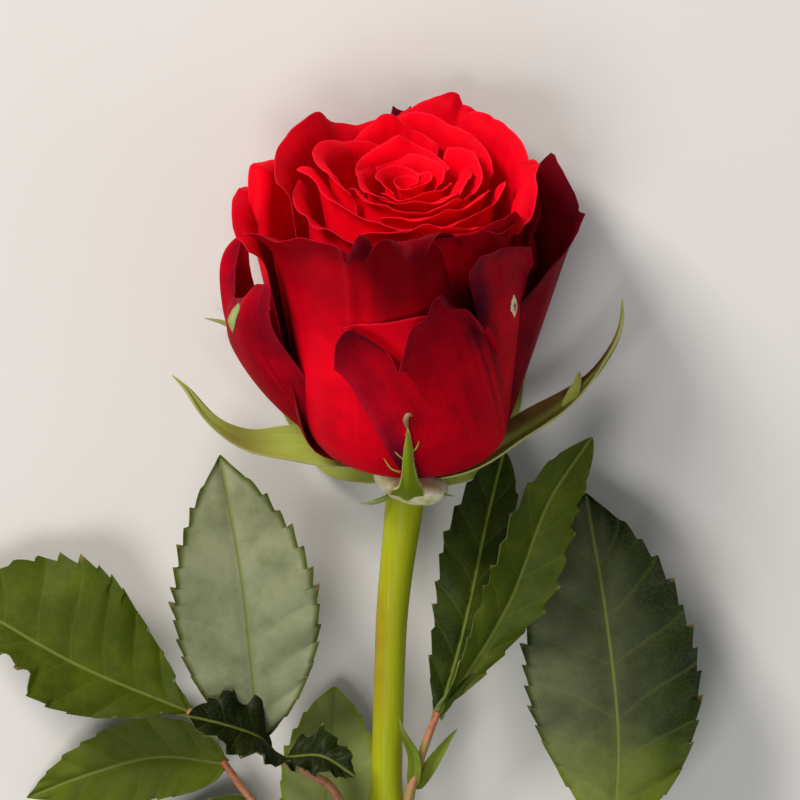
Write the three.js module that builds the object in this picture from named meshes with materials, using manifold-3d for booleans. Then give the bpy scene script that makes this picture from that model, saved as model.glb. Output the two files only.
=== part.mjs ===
// A cut red rose laid on its side, in millimetres, +Z up. The bloom points along +Y, and the side of
// the flower that faces the viewer when it is held upright faces up. The origin is the spot of the
// bloom that touches the table.
import * as THREE from "three";
import Module from "manifold-3d";

const wasm = await Module();
wasm.setup();

// Driving dimensions
const stemLength = 340;
const stemTopHeight = 14;
const stemEndHeight = 2.9;
const stemEndRadius = 3.1;
const bloomBase = new THREE.Vector3(1.4, 5.5, 14.5);
const bloomTilt = 14;
const restPoint = new THREE.Vector3(1.4, 20, 0);
const petalThickness = 0.7;
const bladeThickness = 0.65;
const nodeGap = 0.3;

// Colours
const petalRed = "#c4001c";
const sepalGreen = "#86953a";
const stemGreen = "#96a020";
const leafGreen = "#33501a";

const radians = THREE.MathUtils.degToRad;
const smooth = THREE.MathUtils.smoothstep;
const point = (x, y, z) => new THREE.Vector3(x, y, z);

// A closed solid from points and triangles.
function solidOf(points, triangles) {
  const vertProperties = new Float32Array(points.flatMap((p) => [p.x, p.y, p.z]));
  const triVerts = new Uint32Array(triangles.flat());
  return new wasm.Manifold(new wasm.Mesh({ numProp: 3, vertProperties, triVerts }));
}

// The largest body of a solid, without loose scraps and with any sealed hollow filled.
function largestBody(solid) {
  return solid.decompose().sort((a, b) => b.volume() - a.volume())[0];
}

function normalsOf(points, faces) {
  const normals = points.map(() => point(0, 0, 0));
  for (const face of faces) {
    const [a, b, c] = face.map((i) => points[i]);
    const cross = b.clone().sub(a).cross(c.clone().sub(a));
    face.forEach((i) => normals[i].add(cross));
  }
  return normals.map((n) => n.normalize());
}

// A thin closed plate: the faces, the same faces on the other side, and a wall round their border.
function plate(points, faces, thickness) {
  const normals = normalsOf(points, faces);
  const count = points.length;
  const under = points.map((p, i) => p.clone().addScaledVector(normals[i], -thickness));
  const triangles = [];
  const border = new Map();
  for (const [a, b, c] of faces) {
    triangles.push([a, b, c], [a + count, c + count, b + count]);
    for (const [from, to] of [[a, b], [b, c], [c, a]]) {
      if (!border.delete(to + " " + from)) border.set(from + " " + to, [from, to]);
    }
  }
  for (const [from, to] of border.values()) {
    triangles.push([to, from, from + count], [to, from + count, to + count]);
  }
  return solidOf([...points, ...under], triangles);
}

// Straight lines through [place, value] pairs.
function between(pairs, place) {
  const next = pairs.findIndex(([at]) => at >= place);
  if (next <= 0) return next === 0 ? pairs[0][1] : pairs[pairs.length - 1][1];
  const [from, low] = pairs[next - 1];
  const [to, high] = pairs[next];
  return THREE.MathUtils.mapLinear(place, from, to, low, high);
}

// A round tube through points, with rings at places along it, a radius for each place and both ends
// closed. A slant cuts the far end at an angle. A tube that starts steeper than steepStart takes its
// ring directions from +Y.
const steepStart = 0.7;

function tube(points, radii, sides, places, slant = 0) {
  const curve = new THREE.CatmullRomCurve3(points);
  const upright = Math.abs(curve.getTangentAt(0).z) > steepStart;
  const reference = upright ? point(0, 1, 0) : point(0, 0, 1);
  const corners = [];
  const triangles = [];
  places.forEach((along, i) => {
    const centre = curve.getPointAt(along);
    const ahead = curve.getTangentAt(along);
    const side = ahead.clone().cross(reference).normalize();
    const top = side.clone().cross(ahead).normalize();
    const radius = between(radii, along);
    const last = i === places.length - 1;
    for (let j = 0; j < sides; j += 1) {
      const angle = (2 * Math.PI * j) / sides;
      corners.push(
        centre
          .clone()
          .addScaledVector(side, radius * Math.cos(angle))
          .addScaledVector(top, radius * Math.sin(angle))
          .addScaledVector(ahead, last ? slant * radius * Math.sin(angle) : 0),
      );
    }
  });
  for (let i = 0; i < places.length - 1; i += 1) {
    for (let j = 0; j < sides; j += 1) {
      const k = (j + 1) % sides;
      const low = i * sides;
      const high = low + sides;
      triangles.push([low + j, high + k, low + k], [low + j, high + j, high + k]);
    }
  }
  const first = corners.length;
  const lastRing = (places.length - 1) * sides;
  corners.push(curve.getPointAt(places[0]), curve.getPointAt(places[places.length - 1]));
  for (let j = 0; j < sides; j += 1) {
    const k = (j + 1) % sides;
    triangles.push([first, j, k], [first + 1, lastRing + k, lastRing + j]);
  }
  return solidOf(corners, triangles);
}

const evenly = (steps) => Array.from({ length: steps + 1 }, (_, i) => i / steps);

// The bloom

const tilt = radians(bloomTilt);
const bloomAxis = point(0, Math.cos(tilt), Math.sin(tilt));
const bloomFront = point(0, -Math.sin(tilt), Math.cos(tilt));

// A place in the bloom: turn from the front (0) to the right (90), distance from the axis, and height.
function inBloom(turn, radius, height) {
  return bloomBase
    .clone()
    .addScaledVector(point(1, 0, 0), radius * Math.sin(turn))
    .addScaledVector(bloomFront, radius * Math.cos(turn))
    .addScaledVector(bloomAxis, height);
}

// A petal leaves its root nearly level, turns up into the side of the bowl at about its body radius,
// leans, and curls at its edge. Angles are from the bloom's axis, in degrees. edge pairs give the
// length of the petal from its root at places across it, from its left side (-1) to its right side (1).
const bowlAngle = 64;
const bowlInset = 2.2;
const bowlSoftness = 2;
const bowlSlope = 0.88;
const leanLength = 66;
const walkSteps = 30;
const evenCurl = 0.7;
const ripplePower = 5;
const flarePower = 3;

function petalPoint(petal, across, along) {
  const { turn, spread, body, lean, curl, rim, edge } = petal;
  const { root = 3.5, bend = 0, bowl = bowlAngle, slant = 0 } = petal;
  const { tuck = 0, flare = 0, ripple = 0, waves = 3 } = petal;
  const reach = between(edge, across);
  const step = (along * reach) / walkSteps;
  const bowlEnd = (body - root - bowlInset) / bowlSlope;
  const edgeCurl = curl * (evenCurl + (1 - evenCurl) * Math.sin(Math.PI * across) ** 2);
  let radius = root;
  let height = 0;
  for (let i = 0; i < walkSteps; i += 1) {
    const s = (i + 0.5) * step;
    const bowlPart = bowl / (1 + Math.exp((s - bowlEnd) / bowlSoftness));
    const rimPart = edgeCurl * smooth(s, reach - rim, reach);
    const angle = radians(lean + (bend * s) / leanLength + bowlPart + rimPart);
    radius += step * Math.sin(angle);
    height += step * Math.cos(angle);
  }
  radius += along * (tuck * across + flare * Math.abs(across) ** flarePower);
  height += ripple * along ** ripplePower * Math.sin(waves * Math.PI * across + turn);
  return inBloom(radians(turn + spread * across + slant * (1 - along)), radius, height);
}

// Places across a petal: those of its edge, and more between them where they lie far apart.
const widestColumn = 0.42;

function placesAcross(edge) {
  const places = [edge[0][0]];
  edge.slice(1).forEach(([to], i) => {
    const from = edge[i][0];
    const steps = Math.ceil((to - from) / widestColumn);
    for (let k = 1; k <= steps; k += 1) {
      places.push(from + ((to - from) * k) / steps);
    }
  });
  return places;
}

// A petal as a closed plate over a grid of places across and along it.
function petalSolid(petal, rows) {
  const across = placesAcross(petal.edge);
  const columns = across.length - 1;
  const points = rows.flatMap((along) => across.map((place) => petalPoint(petal, place, along)));
  const faces = [];
  for (let j = 0; j < rows.length - 1; j += 1) {
    for (let i = 0; i < columns; i += 1) {
      const a = j * (columns + 1) + i;
      const c = a + columns + 1;
      faces.push([a, a + 1, c + 1], [a, c + 1, c]);
    }
  }
  return plate(points, faces, petalThickness);
}

// The large outer petals, from the front round to the underside.
const outerPetals = {
  frontLeft: {
    turn: -38, spread: 51, body: 18.8, lean: 6, curl: 95, rim: 5,
    edge: [[-1, 50], [-0.92, 58], [-0.45, 63], [0.1, 66], [0.6, 66], [0.9, 62], [1, 56]],
  },
  frontMiddle: {
    turn: 16, spread: 30, body: 17, lean: 6.5, curl: 80, rim: 5, flare: 0.5,
    edge: [[-1, 62], [-0.6, 65], [0, 64], [0.5, 64], [0.85, 62], [1, 58]],
  },
  frontShort: {
    turn: 13, spread: 50, body: 19.6, lean: 5, curl: 55, rim: 7, flare: 0.4, slant: 24,
    edge: [
      [-1, 37], [-0.8, 45], [-0.35, 42], [-0.26, 39.5], [-0.16, 44], [0, 47.5], [0.1, 55], [0.3, 51],
      [0.6, 47], [0.85, 40], [1, 33],
    ],
  },
  frontScarred: {
    turn: 54, spread: 26, body: 18.4, lean: 6, curl: 60, rim: 6, flare: 0.6,
    edge: [[-1, 48], [-0.6, 58], [0, 61.5], [0.6, 62], [1, 55]],
  },
  frontInner: {
    turn: 22, spread: 42, body: 15.2, lean: 8, curl: 45, rim: 4,
    edge: [[-1, 58], [-0.4, 61], [0.2, 60], [0.6, 62], [1, 58]],
  },
  guardRight: {
    turn: 99, spread: 36, body: 19.2, bowl: 54, lean: 15.5, bend: 8, curl: -25, rim: 10,
    edge: [[-1, 44], [-0.55, 52], [-0.15, 57], [0.3, 57.5], [0.82, 65], [1, 52]],
  },
  guardLeft: {
    turn: -85, spread: 27, body: 19, root: 4.5, bowl: 0, lean: 74, bend: -95, curl: -50, rim: 12,
    tuck: -1.5, flare: -4,
    edge: [[-1, 52], [-0.8, 59], [-0.6, 57], [-0.42, 50], [0, 48], [0.45, 50], [0.8, 56], [1, 53]],
  },
  sideLeft: {
    turn: -86, spread: 26, body: 17.2, lean: 7, curl: 125, rim: 8, ripple: 0.6,
    edge: [[-1, 60], [-0.5, 64], [0, 65], [0.5, 63], [1, 58]],
  },
  shoulderLeft: {
    turn: -118, spread: 31, body: 16.4, lean: 7, curl: 120, rim: 8, ripple: 0.8,
    edge: [[-1, 65], [-0.4, 69], [0.2, 68], [0.7, 69], [1, 62]],
  },
  backLeft: {
    turn: -154, spread: 36, body: 16, lean: 6, curl: 95, rim: 6, ripple: 0.7,
    edge: [[-1, 64], [-0.5, 67.5], [0, 68], [0.5, 69], [1, 63]],
  },
  back: {
    turn: 168, spread: 38, body: 16.4, lean: 6, curl: 75, rim: 6, ripple: 0.6,
    edge: [[-1, 65], [-0.4, 70.5], [0.1, 68], [0.6, 69], [1, 63]],
  },
  backRight: {
    turn: 128, spread: 36, body: 16.2, lean: 4.5, curl: 80, rim: 5, ripple: 0.5,
    edge: [[-1, 60], [-0.4, 65], [0.2, 67], [0.7, 69], [1, 63]],
  },
  sideRight: {
    turn: 88, spread: 31, body: 17, lean: 4.5, curl: 105, rim: 5, ripple: 0.7,
    edge: [[-1, 60], [-0.5, 63], [0.1, 66], [0.6, 65], [1, 59]],
  },
  underLeft: {
    turn: -144, spread: 42, body: 19.6, lean: 5, curl: 75, rim: 9, ripple: 0.5,
    edge: [[-1, 48], [-0.4, 56], [0.2, 58], [0.7, 53], [1, 44]],
  },
  underRight: {
    turn: 148, spread: 44, body: 18.6, lean: 5, curl: 60, rim: 9, ripple: 0.5,
    edge: [[-1, 45], [-0.5, 53], [0, 57], [0.6, 55], [1, 48]],
  },
};
// The petals that hide the foot of the bloom start low, and the others inside the core.
const outermost = ["frontLeft", "frontShort", "frontScarred", "guardRight", "guardLeft", "underLeft",
  "underRight"];
const outermostRows = [0.17, 0.26, 0.34, 0.6, 0.84, 0.93, 1];
const innerRows = [0.42, 0.68, 0.86, 0.94, 1];

// The heart: petals set round by the golden angle, each further out and less wrapped than the last.
// Each pair goes from the innermost petal to the outermost.
const heartPetals = 17;
const goldenAngle = 137.5;
const heartRows = [0.76, 0.92, 1];
const heart = {
  spread: [95, 45], body: [1.4, 15.4], lean: [-1, 7], curl: [15, 75], rim: [2.5, 4.5], reach: [54.5, 65.5],
};
const heartCrowding = 0.8;
const heartUneven = 1.2;
const heartUnevenTurn = 2.4;
const heartOutline = [[-1, -5], [-0.7, -0.8], [0, 0.6], [0.7, -0.8], [1, -5]];
const tightestHeart = 0.2;

function heartPetal(index) {
  const out = (index + 0.5) / heartPetals;
  const at = ([inside, outside]) => THREE.MathUtils.lerp(inside, outside, out);
  const [inside, outside] = heart.body;
  const reach = at(heart.reach) + heartUneven * Math.sin(index * heartUnevenTurn);
  return {
    turn: (index * goldenAngle) % 360,
    spread: at(heart.spread),
    body: THREE.MathUtils.lerp(inside, outside, out ** heartCrowding),
    root: 0.5,
    bowl: bowlAngle * smooth(out, 0, tightestHeart),
    lean: at(heart.lean),
    curl: at(heart.curl),
    rim: at(heart.rim),
    tuck: 1,
    ripple: 0.5,
    edge: heartOutline.map(([place, more]) => [place, reach + more]),
  };
}

// A solid of rings round an axis, closed with a point at each end.
function turned(rings, start, end) {
  const sides = rings[0].length;
  const points = [...rings.flat(), start, end];
  const first = points.length - 2;
  const last = (rings.length - 1) * sides;
  const triangles = [];
  for (let j = 0; j < sides; j += 1) {
    const k = (j + 1) % sides;
    for (let i = 0; i < rings.length - 1; i += 1) {
      const low = i * sides;
      const high = low + sides;
      triangles.push([low + j, low + k, high + k], [low + j, high + k, high + j]);
    }
    triangles.push([first, k, j], [first + 1, last + j, last + k]);
  }
  return solidOf(points, triangles);
}

// The middle of the bloom, which the petals stand out of: the same bowl, a little smaller.
const core = { turn: 0, spread: 0, body: 16, lean: 4, curl: 0, rim: 1, edge: [[-1, 50]] };
const corePlaces = [0.03, 0.2, 0.3, 0.4, 0.8];
const coreShoulder = { radius: 15, height: 46 };
const coreTop = 49;
const coreSides = 16;

function coreSolid() {
  const profile = corePlaces.map((along) => {
    const place = petalPoint(core, 0, along).sub(bloomBase);
    return [place.dot(bloomFront), place.dot(bloomAxis)];
  });
  profile.push([coreShoulder.radius, coreShoulder.height]);
  const rings = profile.map(([radius, height]) => {
    return evenly(coreSides).slice(1).map((part) => inBloom(2 * Math.PI * part, radius, height));
  });
  return turned(rings, inBloom(0, 0, 0), inBloom(0, 0, coreTop));
}

// What lies below the table's surface, cut off what is pressed flat on it.
function belowTable() {
  const size = 300;
  const box = new THREE.BoxGeometry(size, size, size).toNonIndexed().translate(0, 0, -size / 2);
  const corners = box.getAttribute("position");
  const points = [];
  const triangles = [];
  const found = new Map();
  for (let i = 0; i < corners.count; i += 1) {
    const corner = new THREE.Vector3().fromBufferAttribute(corners, i);
    const key = corner.toArray().join(" ");
    if (!found.has(key)) {
      found.set(key, points.length);
      points.push(corner);
    }
    if (i % 3 === 0) triangles.push([]);
    triangles[triangles.length - 1].push(found.get(key));
  }
  return solidOf(points, triangles);
}

function bloomSolid() {
  const petals = Object.entries(outerPetals).map(([name, petal]) => {
    return petalSolid(petal, outermost.includes(name) ? outermostRows : innerRows);
  });
  for (let i = 0; i < heartPetals; i += 1) {
    petals.push(petalSolid(heartPetal(i), heartRows));
  }
  const whole = wasm.Manifold.union([coreSolid(), ...petals]);
  return largestBody(whole.subtract(belowTable()));
}

// Blades: leaflets, sepals and stipules

// line: points along the midrib. face: which way the upper side looks. fold: how far each half is
// turned up from flat, in degrees. wave: how far the edge swings up and down. fullness and taper shape
// the outline towards its base and its tip. A toothed edge has a row for each tooth, and the tooth
// points past the next row.
const rowStart = 0.4;
const toothPoint = 0.75;
const sidesApart = 1.3;

function blade(shape) {
  const { line, face, width, fold = 8, wave = 0, waves = 2, teeth = 0, columns = 1, rows = 8 } = shape;
  const { fullness = 0.55, taper = 1, thickness = bladeThickness, toothDepth = 0.055 } = shape;
  const curve = new THREE.CatmullRomCurve3(line);
  const peak = fullness / (fullness + taper);
  const full = peak ** fullness * (1 - peak) ** taper;
  const half = (s) => ((width / 2) * s ** fullness * (1 - s) ** taper) / full;
  const at = (s, across, out = 1) => {
    const ahead = curve.getTangent(s);
    const side = ahead.clone().cross(face).normalize();
    const top = side.clone().cross(ahead).normalize();
    const reach = across * out * half(s);
    const lift = Math.abs(reach) * Math.sin(radians(fold));
    const phase = across > 0 ? sidesApart : 0;
    const swing = wave * across ** 2 * Math.sin(waves * 2 * Math.PI * s + phase) * Math.sin(Math.PI * s);
    return curve
      .getPoint(s)
      .addScaledVector(side, reach * Math.cos(radians(fold)))
      .addScaledVector(top, lift + swing);
  };
  const steps = teeth || rows;
  const depth = teeth ? toothDepth : 0;
  const wide = 2 * columns + 1;
  const rowAt = (j) => (j + rowStart) / (steps + 2 * rowStart);
  const points = [];
  const faces = [];
  for (let j = 0; j <= steps; j += 1) {
    for (let i = 0; i < wide; i += 1) {
      const across = -1 + i / columns;
      points.push(at(rowAt(j), across, Math.abs(across) === 1 ? 1 - depth : 1));
    }
  }
  for (let j = 0; j < steps; j += 1) {
    const low = j * wide;
    for (let i = 0; i < wide - 1; i += 1) {
      const a = low + i;
      faces.push([a, a + 1, a + 1 + wide], [a, a + 1 + wide, a + wide]);
    }
    if (teeth) {
      const tooth = rowAt(j + toothPoint);
      points.push(at(tooth, -1, 1 + depth), at(tooth, 1, 1 + depth));
      const left = points.length - 2;
      faces.push([low, low + wide, left], [low + wide - 1, left + 1, low + 2 * wide - 1]);
    }
  }
  const foot = points.length;
  const last = steps * wide;
  points.push(curve.getPoint(0), curve.getPoint(1));
  for (let i = 0; i < wide - 1; i += 1) {
    faces.push([foot, i + 1, i], [foot + 1, last + i, last + i + 1]);
  }
  return plate(points, faces, thickness);
}

// The stem, from under the bloom down to its slanted cut

const stemRise = (stemTopHeight - stemEndHeight) / stemLength;
const stemHeight = (y) => stemTopHeight + y * stemRise;
const stemBow = [
  [0, 0.9], [25, -1.6], [60, -2.4], [110, -2], [170, 0.2], [240, 2.6], [300, 2], [stemLength, 1],
];
const stemTaper = [[0, 3.4], [15, 2.9], [30, 2.7], [200, 2.8], [stemLength, stemEndRadius]];
const stemX = (y) => between(stemBow, -y);
const stemPlace = (y) => point(stemX(y), y, stemHeight(y));
const stemSides = 10;
const stemCut = 1;

// The leaves leave the stem at these places, each at a slight swelling.
const leafPlaces = [57, 73, 93, 109, 161, 216];
const nodeReach = 4;
const nodeSwelling = 0.6;
const stemStations = [0, 8, 15, 25, 40, 135, 185, 245, 275, 305, stemLength];
const stemRings = [...stemStations, ...leafPlaces.flatMap((d) => [d - nodeReach, d, d + nodeReach])];

function stemTube(clearance = 0) {
  const down = [...stemRings].sort((a, b) => a - b);
  const radii = down.map((d) => {
    const swelling = leafPlaces.includes(d) ? nodeSwelling : 0;
    return [d / stemLength, between(stemTaper, d) + swelling + clearance];
  });
  const line = down.map((d) => stemPlace(-d));
  return tube(line, radii, stemSides, radii.map(([along]) => along), clearance ? 0 : stemCut);
}

// Prickles, on the stretch of the stem below the leaves
const prickles = [
  { y: -128, turn: -70 }, { y: -146, turn: 40 }, { y: -188, turn: 95 }, { y: -199, turn: -35 },
  { y: -238, turn: -110 }, { y: -256, turn: 60 }, { y: -279, turn: -40 }, { y: -301, turn: 75 },
];
const prickleReach = [1.2, 3.8, 5.6, 7];
const prickleHook = 0.4;
const prickleRadii = [[0, 1.6], [0.4, 0.9], [1, 0.12]];

function prickle({ y, turn }) {
  const out = point(Math.sin(radians(turn)), 0, Math.cos(radians(turn)));
  const line = prickleReach.map((far, i) => {
    return stemPlace(y).addScaledVector(out, far).add(point(0, -prickleHook * i * i, 0));
  });
  return tube(line, prickleRadii, 5, evenly(3));
}

function stemSolid() {
  const whole = wasm.Manifold.union([stemTube(), ...prickles.map(prickle)]);
  return largestBody(whole.subtract(belowTable()));
}

// The calyx: a small cup between stem and petals, with five sepals

const cupSides = 14;
const cupProfile = [[3.2, 0.6], [4.4, 1.2], [6, 2.8], [6.4, 4.1], [4, 5]];
const cupAxis = point(0.1, 1, 0.12);
const cupTilt = [3, 2.5];
const sepalThickness = 0.8;

function cupSolid() {
  const middle = (height) => stemPlace(0).addScaledVector(cupAxis, height);
  const [startTilt, tiltGain] = cupTilt;
  const rings = cupProfile.map(([radius, height]) => {
    const lean = radians(startTilt + tiltGain * height);
    return evenly(cupSides).slice(1).map((part) => {
      const angle = 2 * Math.PI * part;
      const out = point(Math.sin(angle), -Math.sin(lean) * Math.cos(angle), Math.cos(angle));
      return middle(height).addScaledVector(out, radius);
    });
  });
  return turned(rings, middle(cupProfile[0][1]), middle(cupProfile[cupProfile.length - 1][1]));
}

const sepals = {
  left: {
    line: [[-1, 2.4, 14], [-8.5, 3, 14.2], [-17, 6.4, 14.8], [-26, 9.8, 15.8], [-32.7, 14.4, 17.5],
      [-37.5, 21, 19], [-39.7, 22.9, 19]],
    face: point(-0.1, 0.7, 1), width: 8, fold: 24,
  },
  right: {
    line: [[3, 2.6, 14], [11, 2.6, 14], [20.5, 8.4, 14], [28, 15, 15], [34.6, 23.4, 16],
      [38, 30, 17], [38.7, 36.2, 17]],
    face: point(-0.75, 0.6, 0.1), width: 7, fold: 22,
  },
  front: {
    line: [[1, 1.4, 16], [1.1, 2, 21], [1.3, 3.2, 27.5], [1.6, 6.6, 34.4], [1.5, 12, 37.6], [1.2, 18.6, 39]],
    face: point(0, 1, -0.9), width: 6, fold: 14,
  },
  behindLeft: {
    line: [[-1, 2.6, 12], [-6, 3.2, 6.5], [-12, 5, 2.6], [-17.5, 12, 1.5], [-23.5, 21, 1.5],
      [-30, 28.6, 3], [-34.4, 30, 4.2]],
    face: point(0.1, 0.3, 1), width: 6, fold: 8,
  },
  behindRight: {
    line: [[3, 2.6, 12], [7, 3, 6], [13, 4.6, 2.4], [18, 10, 1.5], [21, 18, 1.5], [21.5, 27, 1.7]],
    face: point(-0.1, 0.2, 1), width: 6, fold: 6,
  },
};
const sepalShape = { fullness: 0.5, taper: 1.5, columns: 1, rows: 9, thickness: sepalThickness };

function calyxSolid() {
  const parts = Object.values(sepals).map((sepal) => {
    return blade({ ...sepalShape, ...sepal, line: sepal.line.map((place) => point(...place)) });
  });
  const whole = wasm.Manifold.union([cupSolid(), ...parts]);
  return largestBody(whole.subtract(stemTube(nodeGap)).subtract(belowTable()));
}

// The leaves: each has a stalk from the stem, leaflets on it, and two stipules at its foot

const stalkRadii = [[0, 1.6], [0.12, 1], [1, 0.65]];
const stalkSides = 5;
const stalkSteps = 7;
const up = point(0, 0, 1);

// A leaflet along its midrib, from its base to its tip.
function leaflet({ base, tip, through = [], width, face = up, ...rest }) {
  const line = [base, ...through, tip].map((place) => point(...place));
  return blade({ line, width, face, teeth: 8, ...rest });
}

const leaves = {
  leaf_upper: {
    stalk: [[1.1, -57.5, 14.4], [1.9, -52.6, 15.2], [4, -45.6, 15.4], [6.6, -38.4, 15.4]],
    leaflets: [
      {
        base: [6.2, -39.5, 15.4], through: [[10.6, -19, 13.4], [14, -6, 11]], tip: [17.2, 6.4, 8],
        width: 12.5, fold: 20, face: point(-0.35, 0.1, 1), wave: 0.5, teeth: 10, taper: 0.8,
      },
      {
        base: [6.2, -39.3, 15.6], through: [[14.4, -24.6, 18], [23, -8, 18.6]], tip: [33.8, 10.6, 15],
        width: 14, fold: 20, face: point(0.3, 0, 1), wave: 0.6, teeth: 11, taper: 0.8,
      },
    ],
    stipules: [
      { line: [[2.3, -52, 15.4], [2.4, -46, 17.5], [0.4, -41, 19], [-0.2, -38.5, 18]], width: 2.4 },
      { line: [[2.6, -52.4, 14.6], [6.4, -47, 14], [9, -43.4, 13.2], [10.2, -42, 13]], width: 2.6 },
    ],
  },
  leaf_left: {
    stalk: [[-5.6, -73, 12], [-8.6, -62, 12.8], [-12, -52.8, 13.4], [-16.4, -49.8, 13.8],
      [-24, -46, 14.2], [-31, -42.2, 14], [-37.4, -38.6, 13.6]],
    leaflets: [
      {
        base: [-36.6, -39, 13.7], through: [[-57, -30.2, 13.5]], tip: [-78, -19, 8.5],
        width: 26, fold: 6, face: point(0.1, 0.2, 1), wave: 1.1, teeth: 10,
      },
      {
        base: [-24.6, -44, 14.2], through: [[-25.4, -36, 16.4], [-27.6, -14, 18.6]], tip: [-31.4, 8.2, 17],
        width: 25.6, fold: 7, face: point(0.05, 0.12, 1), wave: 0.6, teeth: 12, columns: 2, fullness: 0.6,
      },
      {
        base: [-23.6, -46.4, 14.4], through: [[-29.6, -41.8, 20.5]], tip: [-37.2, -36, 23.6],
        width: 13.5, fold: 10, face: point(0.1, 0.85, 0.4), wave: 0.7, teeth: 8,
      },
      {
        base: [-16, -50, 14], through: [[-11.6, -47.6, 18.4]], tip: [-7, -48.6, 21.4],
        width: 8.4, fold: 10, face: point(-0.2, 0.8, 0.5), wave: 0.4, teeth: 6,
      },
    ],
    stipules: [
      { line: [[-7, -69, 12.6], [-10.5, -64, 12.6], [-13.5, -60.5, 12], [-14.6, -59, 11.5]], width: 2.6 },
    ],
  },
  leaf_behind: {
    stalk: [[-5.2, -93, 9.4], [-9, -80, 8], [-15.5, -67, 7], [-26, -57, 6.6], [-31.4, -49.4, 7]],
    leaflets: [
      {
        base: [-31, -50, 7], through: [[-43, -49, 6.4], [-55, -52.4, 4.8]], tip: [-66.4, -57.6, 1.6],
        width: 15, fold: 5, wave: 0.4, teeth: 7,
      },
      {
        base: [-14.6, -68, 7], through: [[-13.2, -52, 6.2]], tip: [-12.6, -38.2, 4.2],
        width: 14, fold: 5, wave: 0.4, teeth: 7,
      },
      {
        base: [-25.6, -57.4, 6.6], through: [[-36, -66.4, 5.2]], tip: [-52, -76, 1.4],
        width: 15, fold: 5, wave: 0.4, teeth: 7,
      },
    ],
    stipules: [
      { line: [[-6.4, -89.6, 9.2], [-10, -85, 8], [-13, -82, 7], [-14, -81, 6.6]], width: 2.6 },
    ],
  },
  leaf_right: {
    stalk: [[1.7, -109, 11], [6, -99, 11.6], [15.4, -88.4, 11.8], [27, -76, 12.8], [37.2, -61, 14]],
    leaflets: [
      {
        base: [36.8, -61.8, 14], through: [[37, -44, 14], [34.8, -22, 12]], tip: [32, -0.4, 8],
        width: 31.5, fold: 8, face: point(-0.1, 0.1, 1), wave: 0.8, teeth: 12, columns: 2, fullness: 0.65,
      },
      {
        base: [26.6, -76.6, 12.8], through: [[44, -79.6, 11]], tip: [66, -87, 2.2],
        width: 22, fold: 6, wave: 0.8, teeth: 7,
      },
      {
        base: [15.8, -88, 11.8], through: [[12.4, -76, 8.4]], tip: [9.4, -62.4, 4],
        width: 12.6, fold: 6, wave: 0.4, teeth: 7,
      },
      {
        base: [14.8, -89, 11.8], through: [[27, -98.4, 8.6]], tip: [45, -112, 1.6],
        width: 18, fold: 6, wave: 0.7, teeth: 7,
      },
    ],
    stipules: [
      { line: [[3.4, -106, 11.4], [7, -101.6, 10.6], [9.4, -99, 9.8], [10.4, -98, 9.4]], width: 2.6 },
    ],
  },
  leaf_low_left: {
    stalk: [[-3.7, -161, 8.8], [-8, -151, 8.2], [-18, -142.6, 7], [-31, -136, 5.6]],
    leaflets: [
      {
        base: [-30.4, -136.4, 5.6], through: [[-49, -129, 5.6]], tip: [-70, -117, 1.2],
        width: 23, fold: 6, wave: 0.8, teeth: 7,
      },
      {
        base: [-17.4, -143, 7], through: [[-18, -125, 7]], tip: [-20.4, -104, 2.6],
        width: 17, fold: 6, wave: 0.6, teeth: 6,
      },
      {
        base: [-17.8, -143, 7], through: [[-30, -153, 5.4]], tip: [-49, -167, 1.2],
        width: 17, fold: 6, wave: 0.6, teeth: 6,
      },
    ],
    stipules: [
      { line: [[-5.4, -158, 8.8], [-9.6, -154.6, 7.6], [-12, -152.8, 6.6], [-13, -152, 6]], width: 2.6 },
    ],
  },
  leaf_low_right: {
    stalk: [[5.6, -216, 7.2], [9.6, -206, 6.8], [18, -197, 5.8], [29, -190, 5]],
    leaflets: [
      {
        base: [28.4, -190.4, 5], through: [[46, -182, 5.2]], tip: [67, -169, 1.2],
        width: 22, fold: 6, wave: 0.8, teeth: 7,
      },
      {
        base: [17.6, -197.4, 5.8], through: [[18.6, -179, 6.2]], tip: [21, -158, 2],
        width: 16, fold: 6, wave: 0.6, teeth: 6,
      },
      {
        base: [17.8, -197.4, 5.8], through: [[30, -207, 5]], tip: [48, -221, 1.2],
        width: 16, fold: 6, wave: 0.6, teeth: 6,
      },
    ],
    stipules: [
      { line: [[7.2, -213, 7.2], [11, -209.6, 6.2], [13.4, -207.8, 5.4], [14.4, -207, 5]], width: 2.6 },
    ],
  },
};

function leafSolid({ stalk, leaflets, stipules }) {
  const parts = [tube(stalk.map((place) => point(...place)), stalkRadii, stalkSides, evenly(stalkSteps))];
  parts.push(...leaflets.map(leaflet));
  for (const { line, width } of stipules) {
    const places = line.map((place) => point(...place));
    parts.push(blade({ line: places, width, face: up, rows: 4, fullness: 0.25 }));
  }
  return largestBody(wasm.Manifold.union(parts).subtract(stemTube(nodeGap)));
}

// The rose

const rose = new THREE.Group();

function addNode(name, solid, colour, roughness) {
  const { vertProperties, triVerts } = solid.getMesh();
  const geometry = new THREE.BufferGeometry()
    .setAttribute("position", new THREE.BufferAttribute(vertProperties, 3))
    .setIndex(new THREE.BufferAttribute(triVerts, 1));
  const material = new THREE.MeshStandardMaterial({ color: colour, roughness, metalness: 0 });
  const mesh = new THREE.Mesh(geometry, material);
  mesh.name = name;
  mesh.position.copy(restPoint).negate();
  rose.add(mesh);
}

addNode("bloom", bloomSolid(), petalRed, 0.6);
addNode("calyx", calyxSolid(), sepalGreen, 0.65);
addNode("stem", stemSolid(), stemGreen, 0.5);
for (const [name, leaf] of Object.entries(leaves)) {
  addNode(name, leafSolid(leaf), leafGreen, 0.45);
}

export default rose;
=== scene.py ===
import math
import random
from functools import partial

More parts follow.
